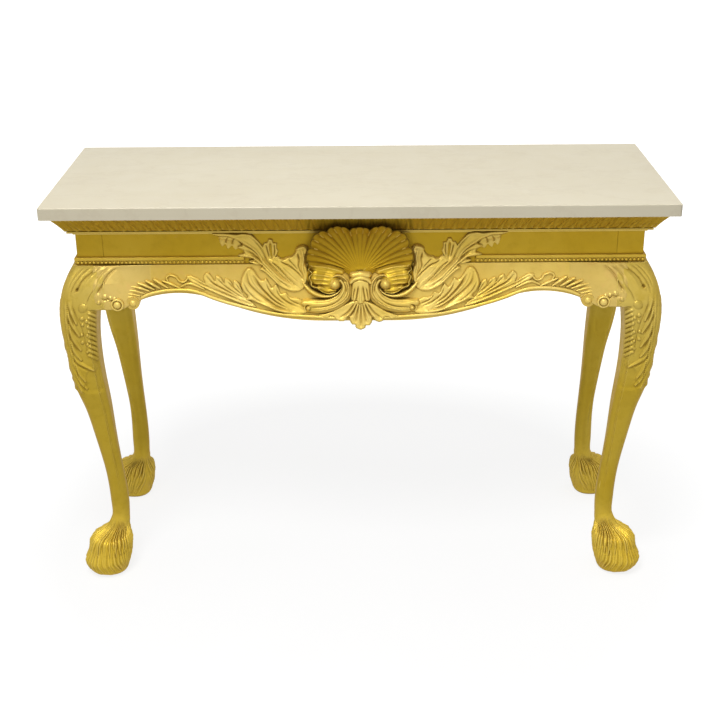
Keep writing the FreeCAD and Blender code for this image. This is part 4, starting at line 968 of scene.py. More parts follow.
def edge_moulding():
    """A half-round moulding along the apron's lower edge, drawn in at its ends."""
    path = curve_through([on_face(pixel, EDGE_RISE / 2) for pixel in EDGE_PATH], EDGE_STEPS)
    ahead = np.gradient(path, axis=0)
    ahead /= np.linalg.norm(ahead, axis=1, keepdims=True)
    beside = np.stack([-ahead[:, 1], ahead[:, 0]], axis=-1)
    turns = np.linspace(0.0, math.pi, EDGE_SECTION_STEPS)
    from_end = np.minimum(np.arange(EDGE_STEPS), np.arange(EDGE_STEPS)[::-1])
    taper = np.sqrt(np.clip(from_end / EDGE_TAPER_STEPS, EDGE_TIP_SHARE, 1.0))[:, None]
    out = EDGE_HALF_WIDTH * np.cos(turns) * taper
    spots = path[:, None, :] + beside[:, None, :] * out[:, :, None]
    lift = EDGE_RISE * np.sin(turns)[None, :] * taper - BACKING
    points = face_points(spots[:, :, 0], spots[:, :, 1], lift)
    return points.reshape(-1, 3), tube_faces(*lift.shape)


def make_carving():
    """The carved work of the front: pieces in mirrored pairs, then those on the middle line."""
    for name, leaves, veins, bands, replaced in (
        ("leafage", FRIEZE_LEAVES, FRIEZE_VEINS, (), ("spray", "stem_leaf", "side_leaf")),
        ("acanthus", APRON_LEAVES, APRON_VEINS, (), ("apron_leaf",)),
        ("frond", FROND_LEAVES, FROND_VEINS, FROND_BANDS, ("tuft",)),
        ("nulling", (), (), GADROON_BANDS, ("gadroon",)),
        ("scroll", (), SCROLL_VEINS, SCROLL_BANDS, ("c_scroll",)),
        ("crescent", (), (), HORN_BANDS, ("horn",)),
        ("shell_wing", (), SHELL_WING_VEINS, SHELL_WING_BANDS, ()),
    ):
        leaf = GILT_WING if name == "shell_wing" else GILT_CARVING
        mirror_pair(name, carved_field(leaves, veins, bands), leaf, replaced)
    mirror_pair("edge_moulding", edge_moulding(), GILT_CARVING, ("edge_band",))
    for name, leaves, veins, bands, replaced in (
        ("palm_leaf", PALMETTE_LEAVES, PALMETTE_VEINS, (), ["palmette"]),
        ("drop_leaf", PENDANT_LEAVES, pendant_veins(), (), ["pendant"]),
        ("shell_hinge", (), (), HINGE_BANDS, []),
    ):
        points, faces = carved_field(leaves, veins, bands)
        mesh_piece(name, points, faces, GILT_CARVING, replaced)


# Legs, ears and volutes

# The post's corner, from which the leg's stand is measured, and the leg's middle line by height
LEG_CORNER = np.array((-HALF_LENGTH, FRIEZE_Y))
LEG_MIDDLE = (
    (0.0, -7.0), (37.0, -5.0), (69.0, -12.0), (90.0, -17.5), (106.0, -29.0), (121.0, -34.0),
    (150.0, -35.6), (201.0, -34.6), (286.0, -27.6), (368.0, -19.0), (451.0, -7.4), (529.0, 0.5),
    (603.0, 3.0), (640.0, 2.0), (650.0, -6.0), (733.0, -22.0),
)
LEG_OUTWARD = math.radians(225.0)
KNEE_FOOT = 450.0
KNEE_FOOT_FADE = 12.0
KNEE_FACING = 0.2
KNEE_FACING_FADE = 0.4
PAW_TOP = 140.0
SOLE_LEVEL = 0.4
POST_WIDTH = 55.0
POST_ARRIS = 1.5
ARRIS_STEPS = 4
ARRIS_TURN = 30.0
POST_CREASE = 10.0
POST_LAP = 0.3
# Steps between a leg's rings on knee, shaft and paw, and the points of a ring
CARVED_LEG_STEPS = (1.2, 6.0, 1.2)
CARVED_LEG_COLUMNS = 340
PLAIN_LEG_STEPS = (6.0, 6.0, 1.6)
PLAIN_LEG_COLUMNS = 240
# How much slimmer the shafts are than the CAD legs, on the inner side in front and the outer side behind
SLIM_INSIDE = 4.0
SLIM_OUTSIDE = 6.0
SLIM_TURN = 2.0
SLIM_FOOT = 130.0
SLIM_FOOT_FADE = 150.0
SLIM_TOP = 660.0
SLIM_TOP_FADE = 80.0

# Carving of a front knee, in photo pixels on the left one; heights are millimetres off its face.
# The leaf's outline, then lines with a depth and a half width, and strokes as on the front.
KNEE_PLATE = (1.8, 2.5, (
    (40, 250), (125, 250), (119, 266), (111, 272), (105, 278), (101, 285), (97, 292), (99, 297),
    (99, 310), (99, 330), (99, 350), (98, 358), (95, 362), (97, 367), (93, 373), (88, 372), (85, 377),
    (87, 383), (83, 387), (85, 393), (82, 399), (74, 395), (60, 380), (40, 350),
))
KNEE_LINES = (
    (-2.6, 0.9, ((101, 265), (93, 270), (86, 275), (80, 281), (76, 288), (72, 294))),
    (1.8, 1.7, ((105, 266), (97, 271), (90, 277), (84, 284), (80, 291))),
    (-2.0, 0.8, ((106, 268), (100, 273), (95, 279), (92, 285), (91, 289))),
    (1.4, 1.5, ((110, 268), (103, 274), (98, 280), (95, 287), (92, 294))),
    (-3.0, 0.9, ((119, 266), (111, 271), (105, 277), (101, 284), (97, 291), (92, 299))),
    (-1.8, 0.8, ((90, 266), (82, 272), (76, 279), (71, 287), (68, 296))),
    (-1.4, 0.8, ((84, 266), (76, 273), (70, 281), (66, 290))),
    (-1.4, 0.7, ((96, 281), (92, 289), (87, 297), (84, 305))),
    (-3.2, 1.5, ((76, 288.5), (74, 291.5))),
    (-2.6, 1.0, ((99, 299.5), (103, 301), (106, 299.5), (109, 302), (113, 302), (118, 305))),
    (-1.8, 0.9, ((64.5, 296), (65.5, 318), (69, 344), (74, 368), (79, 390))),
    (-1.6, 0.9, ((61, 298), (62.5, 322), (66.5, 348), (72, 372))),
    (-1.4, 0.8, ((70, 300), (71, 308), (75, 318), (80, 330), (84, 345), (86, 360))),
)
KNEE_LOBES = (
    ((67, 303), (70, 313), (74.5, 324)),
    ((66, 315), (71, 326), (77.5, 336)),
    ((67, 329), (72, 340), (79, 350)),
    ((69, 343), (73, 352), (79.5, 360)),
    ((71, 354), (76, 361.5), (83, 366), (91.5, 370)),
    ((73, 364), (78, 374), (83.5, 381)),
    ((75, 374), (80, 383), (85, 389)),
    ((77, 384), (80, 391), (83.5, 397)),
)
KNEE_LOBE_WIDTHS = (1.4, 2.4, 1.5)
KNEE_LOBE_HEIGHTS = (1.0, 3.2, 3.6)
KNEE_GROOVE_OFFSET = np.array((-2.0, 2.4))
KNEE_GROOVE_DEPTH = -1.8
KNEE_GROOVE_HALF_WIDTH = 0.9
KNEE_BERRY_HEIGHT = 2.8
KNEE_BERRIES = (
    (2.2, (80, 319)), (1.9, (84.5, 321.5)), (1.7, (80.5, 325)), (1.7, (80, 335)), (1.9, (80.5, 342.5)),
    (1.6, (86, 327)), (1.6, (85.5, 335.5)), (1.6, (85.5, 344.5)), (1.6, (85.5, 352)), (4.4, (81, 308.5)),
    (2.6, (103, 297.5)), (2.3, (108.3, 299)), (2.3, (113.2, 299.6)), (2.1, (117.6, 301.4)),
    (2.0, (97, 303)),
)
KNEE_TOP_FADE = 9.0
KNEE_RIBS = 10
KNEE_RIB_START = np.array((87.0, 313.5))
KNEE_RIB_PITCH = 4.65
KNEE_RIB_PATH = np.array(((0.0, 0.0), (4.0, 1.2), (9.5, 4.2)))
KNEE_RIB_WIDTHS = (1.4, 1.9, 1.6)
KNEE_RIB_HEIGHTS = (2.2, 3.2, 2.0)


def add_plate(height, x, up, plate):
    """Raise a flat plate with a rounded edge."""
    rise, shoulder, outline = plate
    inside, apart = inside_path(x, up, closed_curve(outline))
    edge = np.sqrt(apart.min(axis=1))
    height[inside] = np.maximum(height[inside], rise * smooth(edge / shoulder))


def knee_relief(points):
    """Height of the carving over points of the front left leg; its two faces mirror each other."""
    folded = points.copy()
    offset = points[..., :2] - LEG_CORNER
    beside = offset[..., 1] > offset[..., 0]
    folded[beside, :2] = LEG_CORNER + offset[beside][:, ::-1]
    x, y = photo_pixels(folded)
    height = np.zeros_like(x)
    add_plate(height, x, y, KNEE_PLATE)
    raised = np.zeros_like(x)
    for lobe in KNEE_LOBES:
        add_stroke(raised, x, y, ("crest", KNEE_LOBE_WIDTHS, KNEE_LOBE_HEIGHTS, lobe))
    for size, place in KNEE_BERRIES:
        add_stroke(raised, x, y, ("round", (size, size), (KNEE_BERRY_HEIGHT, KNEE_BERRY_HEIGHT), [place]))
    for rib in range(KNEE_RIBS):
        path = KNEE_RIB_START + np.array((0.0, KNEE_RIB_PITCH * rib)) + KNEE_RIB_PATH
        add_stroke(raised, x, y, ("round", KNEE_RIB_WIDTHS, KNEE_RIB_HEIGHTS, path))
    height = height + raised - KNEE_PLATE[0]
    for depth, half_width, path in KNEE_LINES:
        add_line(height, x, y, depth, half_width, path)
    for lobe in KNEE_LOBES:
        groove = np.array(lobe) + KNEE_GROOVE_OFFSET
        add_line(height, x, y, KNEE_GROOVE_DEPTH, KNEE_GROOVE_HALF_WIDTH, groove)
    return height * smooth((FOOT - points[..., 2]) / KNEE_TOP_FADE)


# Tiers of hair on a paw: where the locks start and end, how far they sweep, how proud their tips are
PAW_TIERS = ((120.0, 58.0, 14.0, 5.0), (82.0, 12.0, 24.0, 3.2))
PAW_SEED = 5
PAW_LOCKS = 44
PAW_RADIUS = 52.0
PAW_HAIR_BED = 3.2
HAIR_TOP_FADE = 20.0
HAIR_FOOT = 4.0
HAIR_FOOT_FADE = 12.0
TOE_EASE_SHARE = 0.65
TOE_EASE_PART = 12
TOE_TOP = 45.0
TOE_FADE = 20.0
SOLE_ROUND = 16.0
SOLE_INSET = 8.0
SOLE_LIFT_SHARE = 0.2
# A lock: how it fans, how far chance moves it, its half widths, its heights but the first as shares of its
# tip's, and its path as shares of its sweep and its drop
LOCK_FAN = 1.5
LOCK_PLACE_CHANCE = (-2.0, 2.0)
LOCK_SWEEP_CHANCE = (-6.0, 6.0)
LOCK_TOP_CHANCE = (-8.0, 4.0)
LOCK_END_CHANCE = (-8.0, 6.0)
LOCK_PROUD_CHANCE = (0.6, 1.2)
LOCK_WIDTHS = (1.8, 3.4, 3.8, 1.4)
LOCK_ROOT = 0.6
LOCK_HEIGHT_SHARES = (0.7, 1.0, 0.7)
LOCK_PATH = ((0.0, 0.0), (0.15, 0.35), (0.5, 0.7), (1.0, 1.0))


def paw_strokes():
    """Two tiers of fine locks down a paw, fanning out from its front: round it, height."""
    chance = np.random.default_rng(PAW_SEED)
    strokes = []
    for tier, (start, end, sweep, proud) in enumerate(PAW_TIERS):
        for lock in range(PAW_LOCKS):
            turn = ((lock + 0.5 * tier) / PAW_LOCKS - 0.5) * 2.0 * math.pi
            place = turn * PAW_RADIUS + chance.uniform(*LOCK_PLACE_CHANCE)
            over = sweep * math.sin(LOCK_FAN * turn) + chance.uniform(*LOCK_SWEEP_CHANCE)
            top = start + chance.uniform(*LOCK_TOP_CHANCE)
            drop = top - end - chance.uniform(*LOCK_END_CHANCE)
            tall = proud * chance.uniform(*LOCK_PROUD_CHANCE)
            heights = (LOCK_ROOT, *(share * tall for share in LOCK_HEIGHT_SHARES))
            path = [(place + across * over, top - down * drop) for across, down in LOCK_PATH]
            strokes.append(("crest", LOCK_WIDTHS, heights, path))
    return strokes


def eased_paw(points):
    """Toes drawn closer to a plain round, and the sole's edge rounded under."""
    level = points[:, :, 2]
    middle = points.mean(axis=1, keepdims=True)
    spoke = points - middle
    spoke[:, :, 2] = 0.0
    radius = np.linalg.norm(spoke, axis=2)
    reach = radius.shape[1] // TOE_EASE_PART
    even = sum(np.roll(radius, step, axis=1) for step in range(-reach, reach + 1)) / (2 * reach + 1)
    share = TOE_EASE_SHARE * smooth((TOE_TOP - level) / TOE_FADE)
    eased = radius + share * (even - radius)
    under = np.clip(1.0 - level / SOLE_ROUND, 0.0, 1.0)
    eased = eased - SOLE_INSET * (1.0 - np.sqrt(1.0 - under ** 2))
    return points + spoke * (eased / radius - 1.0)[:, :, None]


def leg_rows(carved):
    """Heights of a leg's rings: close together on the paw, and on the knee where it is carved."""
    knee_step, shaft_step, paw_step = CARVED_LEG_STEPS if carved else PLAIN_LEG_STEPS
    top = FOOT - POST_LAP
    paw = np.arange(0.0, PAW_TOP, paw_step)
    shaft = np.arange(PAW_TOP, KNEE_FOOT, shaft_step)
    knee = np.arange(shaft[-1] + knee_step, top, knee_step)
    return np.concatenate([paw, shaft, knee, [top]])


def ring_surface(mesh, heights, columns):
    """Rings round a leg, found on its CAD solid by rays from its middle line."""
    corners = [vertex.co for vertex in mesh.vertices]
    tree = BVHTree.FromPolygons(corners, [face.vertices for face in mesh.polygons])
    angles = np.linspace(-math.pi, math.pi, columns, endpoint=False)
    points = np.zeros((len(heights), columns, 3))
    for row, height in enumerate(heights):
        level = max(height, SOLE_LEVEL)
        stand = np.interp(level, *zip(*LEG_MIDDLE))
        middle = Vector((LEG_CORNER[0] - stand, LEG_CORNER[1] - stand, level)) * MM
        for column, angle in enumerate(angles):
            heading = LEG_OUTWARD + angle
            hit = tree.ray_cast(middle, Vector((math.cos(heading), math.sin(heading), 0.0)))[0]
            points[row, column] = np.array(hit) / MM
            points[row, column, 2] = height
    return angles, points


def ring_normals(points):
    """Directions out of the surface that the rings make."""
    around = np.roll(points, -1, axis=1) - np.roll(points, 1, axis=1)
    upward = np.gradient(points, axis=0)
    normal = np.cross(around, upward)
    return normal / np.linalg.norm(normal, axis=2, keepdims=True)


def leg_form(node, carved):
    """A leg: its CAD surface made slimmer, the paw's hair raised on it and, if carved, the knee's leaf."""
    heights = leg_rows(carved)
    columns = CARVED_LEG_COLUMNS if carved else PLAIN_LEG_COLUMNS
    angles, points = ring_surface(frame["nodes"][node].data, heights, columns)
    points = eased_paw(points)
    level = points[:, :, 2]
    normal = ring_normals(points)
    slim = smooth((level - SLIM_FOOT) / SLIM_FOOT_FADE) * smooth((SLIM_TOP - level) / SLIM_TOP_FADE)
    if carved:
        slim *= SLIM_INSIDE * smooth(normal[:, :, :2].max(axis=2) * SLIM_TURN)
    else:
        slim *= SLIM_OUTSIDE * smooth(-normal[:, :, 0] * SLIM_TURN)
    points = points - normal * slim[:, :, None]
    relief = np.zeros_like(level)
    if carved:
        facing = -normal[:, :, :2].min(axis=2)
        relief = knee_relief(points) * smooth((facing - KNEE_FACING) / KNEE_FACING_FADE)
        relief *= smooth((level - KNEE_FOOT) / KNEE_FOOT_FADE)
    hair = np.zeros_like(level)
    for stroke in paw_strokes():
        add_stroke(hair, np.broadcast_to(angles * PAW_RADIUS, level.shape), level, stroke)
    bed = PAW_HAIR_BED * smooth((PAW_TIERS[0][0] - level) / HAIR_TOP_FADE)
    hair = (hair - bed) * smooth((level - HAIR_FOOT) / HAIR_FOOT_FADE)
    normal[level < SOLE_ROUND, 2] *= SOLE_LIFT_SHARE
    points = points + normal * (relief + hair)[:, :, None]
    points[0, :, 2] = 0.0
    return points.reshape(-1, 3), tube_faces(len(heights), columns)


def post_form():
    """The square post over a knee, its arrises eased."""
    outline = []
    for right, behind, start in ((0, 0, 180), (1, 0, 270), (1, 1, 0), (0, 1, 90)):
        middle_x = -HALF_LENGTH + POST_ARRIS + right * (POST_WIDTH - 2 * POST_ARRIS)
        middle_y = FRIEZE_Y + POST_ARRIS + behind * (POST_WIDTH - 2 * POST_ARRIS)
        for step in range(ARRIS_STEPS):
            angle = math.radians(start + ARRIS_TURN * step)
            outline.append((middle_x + POST_ARRIS * math.cos(angle),
                            middle_y + POST_ARRIS * math.sin(angle)))
    points = np.array([(x, y, z) for z in (FOOT - POST_LAP, RAIL_TOP) for x, y in outline])
    return points, tube_faces(2, len(outline))


def make_legs():
    """Carved legs in front, plain ones behind, and the posts over them."""
    for kind, row in (("carved", "front"), ("plain", "back")):
        points, faces = leg_form("leg_front_left", kind == "carved")
        for corner, placed, flip in at_corners(points):
            if corner.startswith(row):
                name = f"leg_{kind}_{corner}"
                mesh_piece(name, placed, faces, GILT_LEGS, [f"leg_{corner}"], flip=flip)
    points, faces = post_form()
    for corner, placed, flip in at_corners(points):
        crease(mesh_piece(f"post_{corner}", placed, faces, GILT_RAIL, flip=flip), POST_CREASE)


# Ears: the knee's swell carried sideways into the apron's face. Drop below the frieze and stand at the knee
KNEE_STANDS = ((0.0, 10.5), (17.0, 19.5), (34.0, 28.5), (51.0, 34.2), (68.0, 38.5), (85.0, 40.5))
EAR_NEAR = 548.0
EAR_NEAR_FADE = 6.0
EAR_FAR = 425.0
EAR_FAR_FADE = 8.0
EAR_DROP = 86.0
EAR_COLUMNS = 96
EAR_ROWS = 72
EAR_LAP = 6.0
EAR_END_SINK = 1.0
EAR_END_RISE = 1.2
EAR_RELIEF_START = 4.0
EAR_RELIEF_FADE = 8.0
EAR_BACK_STAND = 2.0
ARCH_APEX = (375.0, 57.0)
ARCH_RADIUS = 230.0
SIDE_ARCH = (61.0, 24.0)


def front_edge(place):
    """Drop of the long apron's lower edge at a distance from the middle."""
    return ARCH_APEX[1] + ARCH_RADIUS - np.sqrt(ARCH_RADIUS ** 2 - (place - ARCH_APEX[0]) ** 2)


def side_edge(place):
    """The same for the short aprons, with the distance counted as on the long side."""
    span = HALF_DEPTH - POST_WIDTH
    return SIDE_ARCH[0] + SIDE_ARCH[1] * ((span - (APRON_REACH - place)) / span) ** 2


def ear_form(edge, carved):
    """An ear on the long side of the front left corner, or on its short side before it is turned."""
    place = np.linspace(EAR_NEAR, EAR_FAR, EAR_COLUMNS)
    share = np.linspace(0.0, 1.0, EAR_ROWS)
    foot = np.minimum(edge(np.minimum(place, APRON_REACH)), EAR_DROP)
    drop = share[:, None] * foot[None, :]
    far = smooth((APRON_REACH + EAR_LAP - place) / (APRON_REACH - EAR_FAR))[None, :]
    ground = BEAD_STAND + math.tan(LEAN) * drop
    stand = (1.0 - far) * np.interp(drop, *zip(*KNEE_STANDS)) + far * ground
    from_end = np.minimum((place - EAR_FAR) / EAR_FAR_FADE, (EAR_NEAR - place) / EAR_NEAR_FADE)[None, :]
    stand = stand - EAR_END_SINK + smooth(from_end) * EAR_END_RISE
    x = np.broadcast_to(-place, stand.shape)
    if carved:
        relief = knee_relief(np.stack([x, FRIEZE_Y - stand, FOOT - drop], axis=-1))
        begun = smooth((EAR_NEAR - EAR_RELIEF_START - place) / EAR_RELIEF_FADE)[None, :]
        stand = stand + relief * begun * (1.0 - far)
    top = np.stack([x, FRIEZE_Y - stand, FOOT - drop], axis=-1)
    back = np.stack([x, np.broadcast_to(FRIEZE_Y - EAR_BACK_STAND, stand.shape), FOOT - drop], axis=-1)
    cells = np.ones((EAR_ROWS - 1, EAR_COLUMNS - 1), bool)
    return close_field(cells, top, back)


def turned_to_side(points):
    """The long side of the front left corner laid over its short side, as in a mirror across the corner."""
    corner = np.array((*LEG_CORNER, 0.0))
    return (points - corner)[:, (1, 0, 2)] + corner


def make_ears():
    """Two ears to a leg, carved on the front legs."""
    for kind, edge in (("long", front_edge), ("short", side_edge)):
        for carved in (True, False):
            points, faces = ear_form(edge, carved)
            turned = kind == "short"
            if turned:
                points = turned_to_side(points)
            for corner, placed, flip in at_corners(points):
                if corner.startswith("front") == carved:
                    name = f"ear_{kind}_{corner}"
                    nodes = [f"ear_{corner}_{kind}"]
                    mesh_piece(name, placed, faces, GILT_EAR, nodes, flip=flip != turned)


# Volutes: radius and height of the turned form, and each one's x, height over the frieze's foot and stand
VOLUTE_PROFILE = (
    (13.5, -14.0), (13.5, -1.0), (13.0, 1.2), (11.6, 2.6), (10.2, 2.2), (9.0, 0.4), (8.2, 0.2),
    (7.8, 2.0), (6.4, 4.2), (4.2, 5.8), (1.6, 6.5),
)
VOLUTE_STEPS = 40
END_VOLUTE = (-468.0, -75.5, 27.0)
KNEE_VOLUTE = (-499.0, -76.0, 36.0)


def make_volutes():
    """Turned bosses under each knee and at each end of the long aprons."""
    for kind, turned, (x, up, stand) in (
        ("end_volute_long", False, END_VOLUTE),
        ("knee_volute_long", False, KNEE_VOLUTE),
        ("knee_volute_short", True, KNEE_VOLUTE),
    ):
        centre = (x, FRIEZE_Y - stand, FOOT + up)
        points, faces = lathe(VOLUTE_PROFILE, centre, (0, -1, 0), (1, 0, 0), VOLUTE_STEPS)
        if turned:
            points = turned_to_side(points)
        for corner, placed, flip in at_corners(points):
            mesh_piece(f"{kind}_{corner}", placed, faces, GILT_CARVING, flip=flip != turned)


# Cornice and bead: mouldings round the frame, mitred at the corners. Profiles are stands off the frieze and
# heights over the moulding's foot.

SIDES = {"front": (0, -1, 0), "right": (1, 0, 0), "back": (0, 1, 0), "left": (-1, 0, 0)}
CORNICE_HEIGHT = CORNICE_HIGH[2] - CORNICE_LOW[2]
CORNICE_STEP = 2.3
CORNICE_CREASE = 50.0
CORNICE_FILLET = ((0.0, 0.0), (4.0, 0.0), (4.0, 2.0))
COVE_MIDDLE = (10.0, 2.0)
COVE_RADII = (6.0, 3.0)
COVE_STEPS = 7
CORNICE_BEAD = ((13.4, 5.0), (14.0, 5.6), (14.0, 8.4), (13.4, 8.8), (11.4, 9.0), (11.4, 10.6))
FASCIA_STAND = CORNICE_STAND - 0.5
QUIRK_STAND = FASCIA_STAND - 5.0
CORNICE_HEAD = (
    (QUIRK_STAND, 42.2), (QUIRK_STAND, 43.8), (FASCIA_STAND, 44.2), (FASCIA_STAND, CORNICE_HEIGHT - 3.0),
    (QUIRK_STAND, CORNICE_HEIGHT - 2.8), (QUIRK_STAND, CORNICE_HEIGHT), (0.0, CORNICE_HEIGHT),
)
# The row of hanging leaf tips between bead and quirk
TIP_PITCH = 23.0
TIP_ROWS = 15
TIP_FOOT = np.array((15.0, 10.6))
TIP_HEAD = np.array((38.0, 41.8))
TIP_HOLLOW = 0.8
TIP_HOLLOW_WAY = np.array((-0.8, 0.6))
TIP_RELIEF = 2.4
TIP_RELIEF_WAY = (0.8, -0.5)
TIP_HALF_WIDTH = 0.47
TIP_START = 0.04
TIP_LEAST = 1e-4
TIP_EDGE_POWER = 4
TIP_GROOVE = 0.28
TIP_GROOVES = 3.0
DART_HALF_WIDTH = 0.16
DART_END = 1.02
DART_HEIGHT = 0.6
BEAD_PROFILE = np.array((
    (0.0, 0.0), (2.6, 0.0), (3.0, 0.6), (3.0, 8.6), (BEAD_STAND - 0.6, 9.0), (BEAD_STAND, 9.8),
    (BEAD_STAND, BEAD_HEIGHT - 1.0), (BEAD_STAND - 1.0, BEAD_HEIGHT), (0.0, BEAD_HEIGHT),
))
BEAD_CREASE = 40.0
PEARL_PITCH = 8.1
PEARL_RADIUS = 3.9
PEARL_STAND = 2.4
PEARL_LEVEL = 4.6
PEARL_TURNS = np.radians((-20.0, 8.0, 35.0, 60.0, 82.0))
PEARL_STEPS = 10


def cornice_profile():
    """The cornice's profile from the frieze round to the top, and where its carved rows start and end."""
    points = list(CORNICE_FILLET)
    for angle in np.linspace(0.0, math.pi / 2, COVE_STEPS):
        points.append((COVE_MIDDLE[0] - COVE_RADII[0] * math.cos(angle),
                       COVE_MIDDLE[1] + COVE_RADII[1] * math.sin(angle)))
    points += CORNICE_BEAD
    first = len(points)
    for share in np.linspace(0.0, 1.0, TIP_ROWS):
        hollow = TIP_HOLLOW * math.sin(math.pi * share)
        points.append(TIP_FOOT + (TIP_HEAD - TIP_FOOT) * share + TIP_HOLLOW_WAY * hollow)
    last = len(points)
    points += CORNICE_HEAD
    return np.array(points), first, last


def leaf_tips(phase, rise):
    """Height of a row of hanging leaf tips: phase along the row, rise from its foot to its head."""
    across = np.abs(phase - np.floor(phase) - 0.5)
    half = TIP_HALF_WIDTH * np.sqrt(np.clip((rise - TIP_START) / (1.0 - TIP_START), TIP_LEAST, 1.0))
    share = np.clip(across / half, 0.0, 1.0)
    grooves = 1.0 - TIP_GROOVE + TIP_GROOVE * np.cos(TIP_GROOVES * math.pi * share)
    leaf = (1.0 - share ** TIP_EDGE_POWER) * grooves * (across < half)
    dart_share = (0.5 - across) / (DART_HALF_WIDTH * (DART_END - rise))
    return np.maximum(leaf, DART_HEIGHT * np.clip(1.0 - dart_share, 0.0, 1.0))


def half_run(side):
    """Half the length of the frame along one of its sides."""
    return HALF_LENGTH if side in ("front", "back") else HALF_DEPTH


def side_points(side, run, stand, level):
    """Points beside the frame: run along a side as a share of its mitred length, stand off it, level."""
    over = run * (half_run(side) + stand)
    if side == "front":
        return np.stack([over, FRIEZE_Y - stand, level], axis=-1)
    if side == "back":
        return np.stack([-over, BACK_Y + stand, level], axis=-1)
    if side == "right":
        return np.stack([HALF_LENGTH + stand, MIDDLE_Y + over, level], axis=-1)
    return np.stack([-HALF_LENGTH - stand, MIDDLE_Y - over, level], axis=-1)


def spread(profile, places, foot):
    """Runs, stands and levels of a profile repeated at places along a side."""
    run = np.broadcast_to(places, (len(profile), len(places)))
    stand = np.repeat(profile[:, :1], len(places), axis=1)
    level = np.repeat(profile[:, 1:], len(places), axis=1) + foot
    return run, stand, level


def swept(side, run, stand, level):
    """A closed moulding from arrays of run, stand and level, row by row across it."""
    points = side_points(side, run, stand, level)
    rows, columns = stand.shape
    faces = [face[::-1] for face in tube_faces(columns, rows)]
    return np.swapaxes(points, 0, 1).reshape(-1, 3), faces


def make_cornice():
    """Four mitred lengths with the leaf tips carved on them."""
    profile, first, last = cornice_profile()
    for side in SIDES:
        length = 2 * half_run(side)
        places = np.linspace(-1.0, 1.0, int(length / CORNICE_STEP) | 1)
        run, stand, level = spread(profile, places, CORNICE_LOW[2])
        leaves = round(length / TIP_PITCH)
        rise = np.linspace(0.0, 1.0, TIP_ROWS)[:, None]
        tips = TIP_RELIEF * leaf_tips(run[first:last] * leaves / 2.0, rise)
        stand[first:last] += TIP_RELIEF_WAY[0] * tips
        level[first:last] += TIP_RELIEF_WAY[1] * tips
        points, faces = swept(side, run, stand, level)
        name = f"cornice_carved_{side}"
        piece = mesh_piece(name, points, faces, GILT_FRAME, [f"cornice_{side}"])
        crease(piece, CORNICE_CREASE)


def make_beads():
    """A fillet over a row of pearls, along each side."""
    stop = -BEAD_HIGH[0] / (HALF_LENGTH + BEAD_STAND)
    rings = [(PEARL_RADIUS * math.cos(turn), PEARL_RADIUS * math.sin(turn)) for turn in PEARL_TURNS]
    for name, side, start, end in (
        ("front_left", "front", -1.0, -stop), ("front_right", "front", stop, 1.0),
        ("right", "right", -1.0, 1.0), ("back", "back", -1.0, 1.0), ("left", "left", -1.0, 1.0),
    ):
        parts = [swept(side, *spread(BEAD_PROFILE, np.array((start, end)), FOOT))]
        count = int(half_run(side) * (end - start) / PEARL_PITCH)
        for number in range(count):
            at = start + (end - start) * (number + 0.5) / count
            centre = side_points(side, np.array(at), np.array(PEARL_STAND), np.array(FOOT + PEARL_LEVEL))
            parts.append(lathe(rings, centre, SIDES[side], (0, 0, 1), PEARL_STEPS))
        points, faces = joined(parts)
        piece = mesh_piece(f"pearl_bead_{name}", points, faces, GILT_BEAD_PAINTED_LIGHT, [f"bead_{name}"])
        crease(piece, BEAD_CREASE)


# Studio

WHITE = (1.0, 1.0, 1.0, 1.0)
WORLD_STRENGTH = 0.2
SEEN_STRENGTH = 1.0
FLOOR_HALF_M = 9.0
FLOOR_NOISE = (3.0,)
FLOOR_STOPS = ((0.3, 0.47), (0.7, 0.5))
FLOOR_ROUGHNESS = 0.9
FLOOR_GLOW = 1.36
# The floor's own glow grows with the distance from the table's middle, so that the shadow stays
GLOW_GROWTH = (("From Min", 0.7), ("From Max", 2.0), ("To Min", 0.62), ("To Max", 1.0))
# Lamps: place and aim in metres, size in metres, watts
LAMPS = (
    ("key", (-0.6, -1.7, 3.4), (0.0, 0.0, 0.6), 1.4, 78.0),
    ("fill", (0.5, -3.9, 1.2), (0.0, 0.0, 0.5), 2.4, 14.0),
    ("top", (0.8, 0.4, 3.4), (0.0, 0.0, 0.8), 2.4, 22.0),
)


def seen_rays(tree):
    """A node's output that is 1 for what the camera sees straight, in a reflection or through glass."""
    path = tree.nodes.new("ShaderNodeLightPath")
    seen = path.outputs["Is Camera Ray"]
    for name in ("Is Glossy Ray", "Is Transmission Ray"):
        both = tree.nodes.new("ShaderNodeMath")
        both.operation = "MAXIMUM"
        tree.links.new(seen, both.inputs[0])
        tree.links.new(path.outputs[name], both.inputs[1])
        seen = both.outputs[0]
    return seen


def mixed(tree, share, first, second, end):
    """Lead a mix of two shaders into an output node."""
    mix = tree.nodes.new("ShaderNodeMixShader")
    tree.links.new(share, mix.inputs["Fac"])
    tree.links.new(first.outputs[0], mix.inputs[1])
    tree.links.new(second.outputs[0], mix.inputs[2])
    tree.links.new(mix.outputs[0], tree.nodes[end].inputs["Surface"])


def make_world():
    """A weak even light, seen as white."""
    world = bpy.data.worlds.new("studio")
    world.use_nodes = True
    bpy.context.scene.world = world
    tree = world.node_tree
    light = tree.nodes["Background"]
    white = tree.nodes.new("ShaderNodeBackground")
    for node, strength in ((light, WORLD_STRENGTH), (white, SEEN_STRENGTH)):
        node.inputs["Color"].default_value = WHITE
        node.inputs["Strength"].default_value = strength
    mixed(tree, seen_rays(tree), light, white, "World Output")


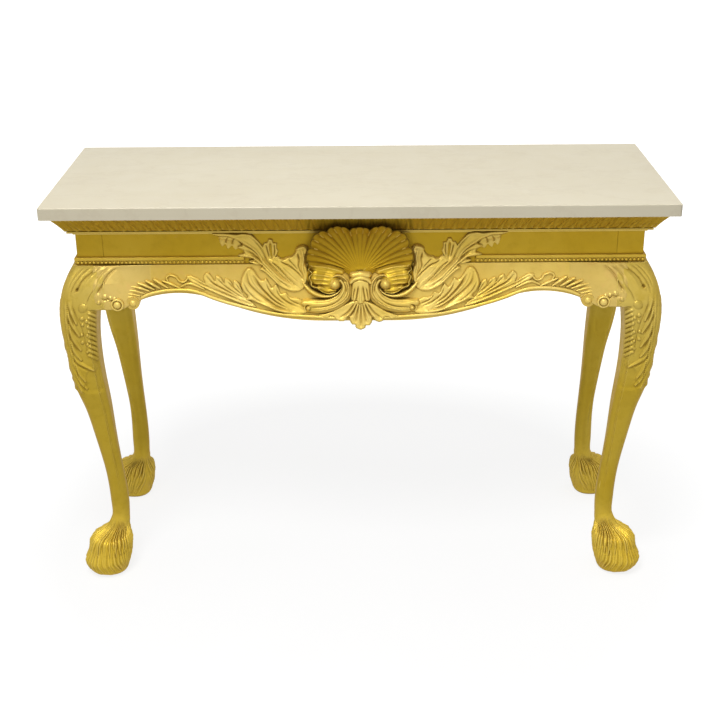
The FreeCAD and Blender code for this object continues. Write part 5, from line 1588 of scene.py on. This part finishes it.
def make_floor():
    """A paper floor that is seen nearly white and still takes the table's shadow."""
    half = FLOOR_HALF_M
    corners = [(-half, -half, 0), (half, -half, 0), (half, half, 0), (-half, half, 0)]
    mesh = bpy.data.meshes.new("floor")
    mesh.from_pydata(corners, [], [(0, 1, 2, 3)])
    floor = bpy.data.objects.new("floor", mesh)
    bpy.context.scene.collection.objects.link(floor)
    shader = Shader("floor_paper")
    shader.feed("Base Color", shader.ramp(shader.noise(*FLOOR_NOISE), FLOOR_STOPS))
    shader.surface.inputs["Roughness"].default_value = FLOOR_ROUGHNESS
    glow = shader.add("Emission")
    glow.inputs["Strength"].default_value = FLOOR_GLOW
    far = shader.add("VectorMath", operation="LENGTH")
    shader.link(shader.place, far.inputs[0])
    share = shader.add("MapRange")
    for name, value in GLOW_GROWTH:
        share.inputs[name].default_value = value
    shader.link(far.outputs["Value"], share.inputs["Value"])
    seen = shader.add("Math", operation="MULTIPLY")
    shader.link(share.outputs["Result"], seen.inputs[0])
    shader.link(seen_rays(shader.tree), seen.inputs[1])
    mixed(shader.tree, seen.outputs[0], shader.surface, glow, "Material Output")
    mesh.materials.append(shader.material)


def make_lamps():
    for name, place, aim, size_m, power in LAMPS:
        lamp = bpy.data.lights.new(name, "AREA")
        lamp.shape = "DISK"
        lamp.size = size_m
        lamp.energy = power
        holder = bpy.data.objects.new(name, lamp)
        holder.location = place
        holder.rotation_euler = (Vector(aim) - Vector(place)).to_track_quat("-Z", "Y").to_euler()
        bpy.context.scene.collection.objects.link(holder)


def make_camera():
    """The photograph's camera."""
    right, down, forward = camera_axes()
    camera = bpy.data.cameras.new("camera")
    camera.lens = LENS_MM
    camera.sensor_width = SENSOR_MM
    holder = bpy.data.objects.new("camera", camera)
    turn = Matrix((right, -down, -forward)).transposed().to_4x4()
    holder.matrix_world = Matrix.Translation(Vector(CAMERA_PLACE * MM)) @ turn
    bpy.context.scene.collection.objects.link(holder)
    bpy.context.scene.camera = holder


bpy.context.scene.view_settings.view_transform = "Standard"
dress_nodes()
make_shell()
make_carving()
make_legs()
make_ears()
make_volutes()
make_cornice()
make_beads()
make_world()
make_floor()
make_lamps()
make_camera()
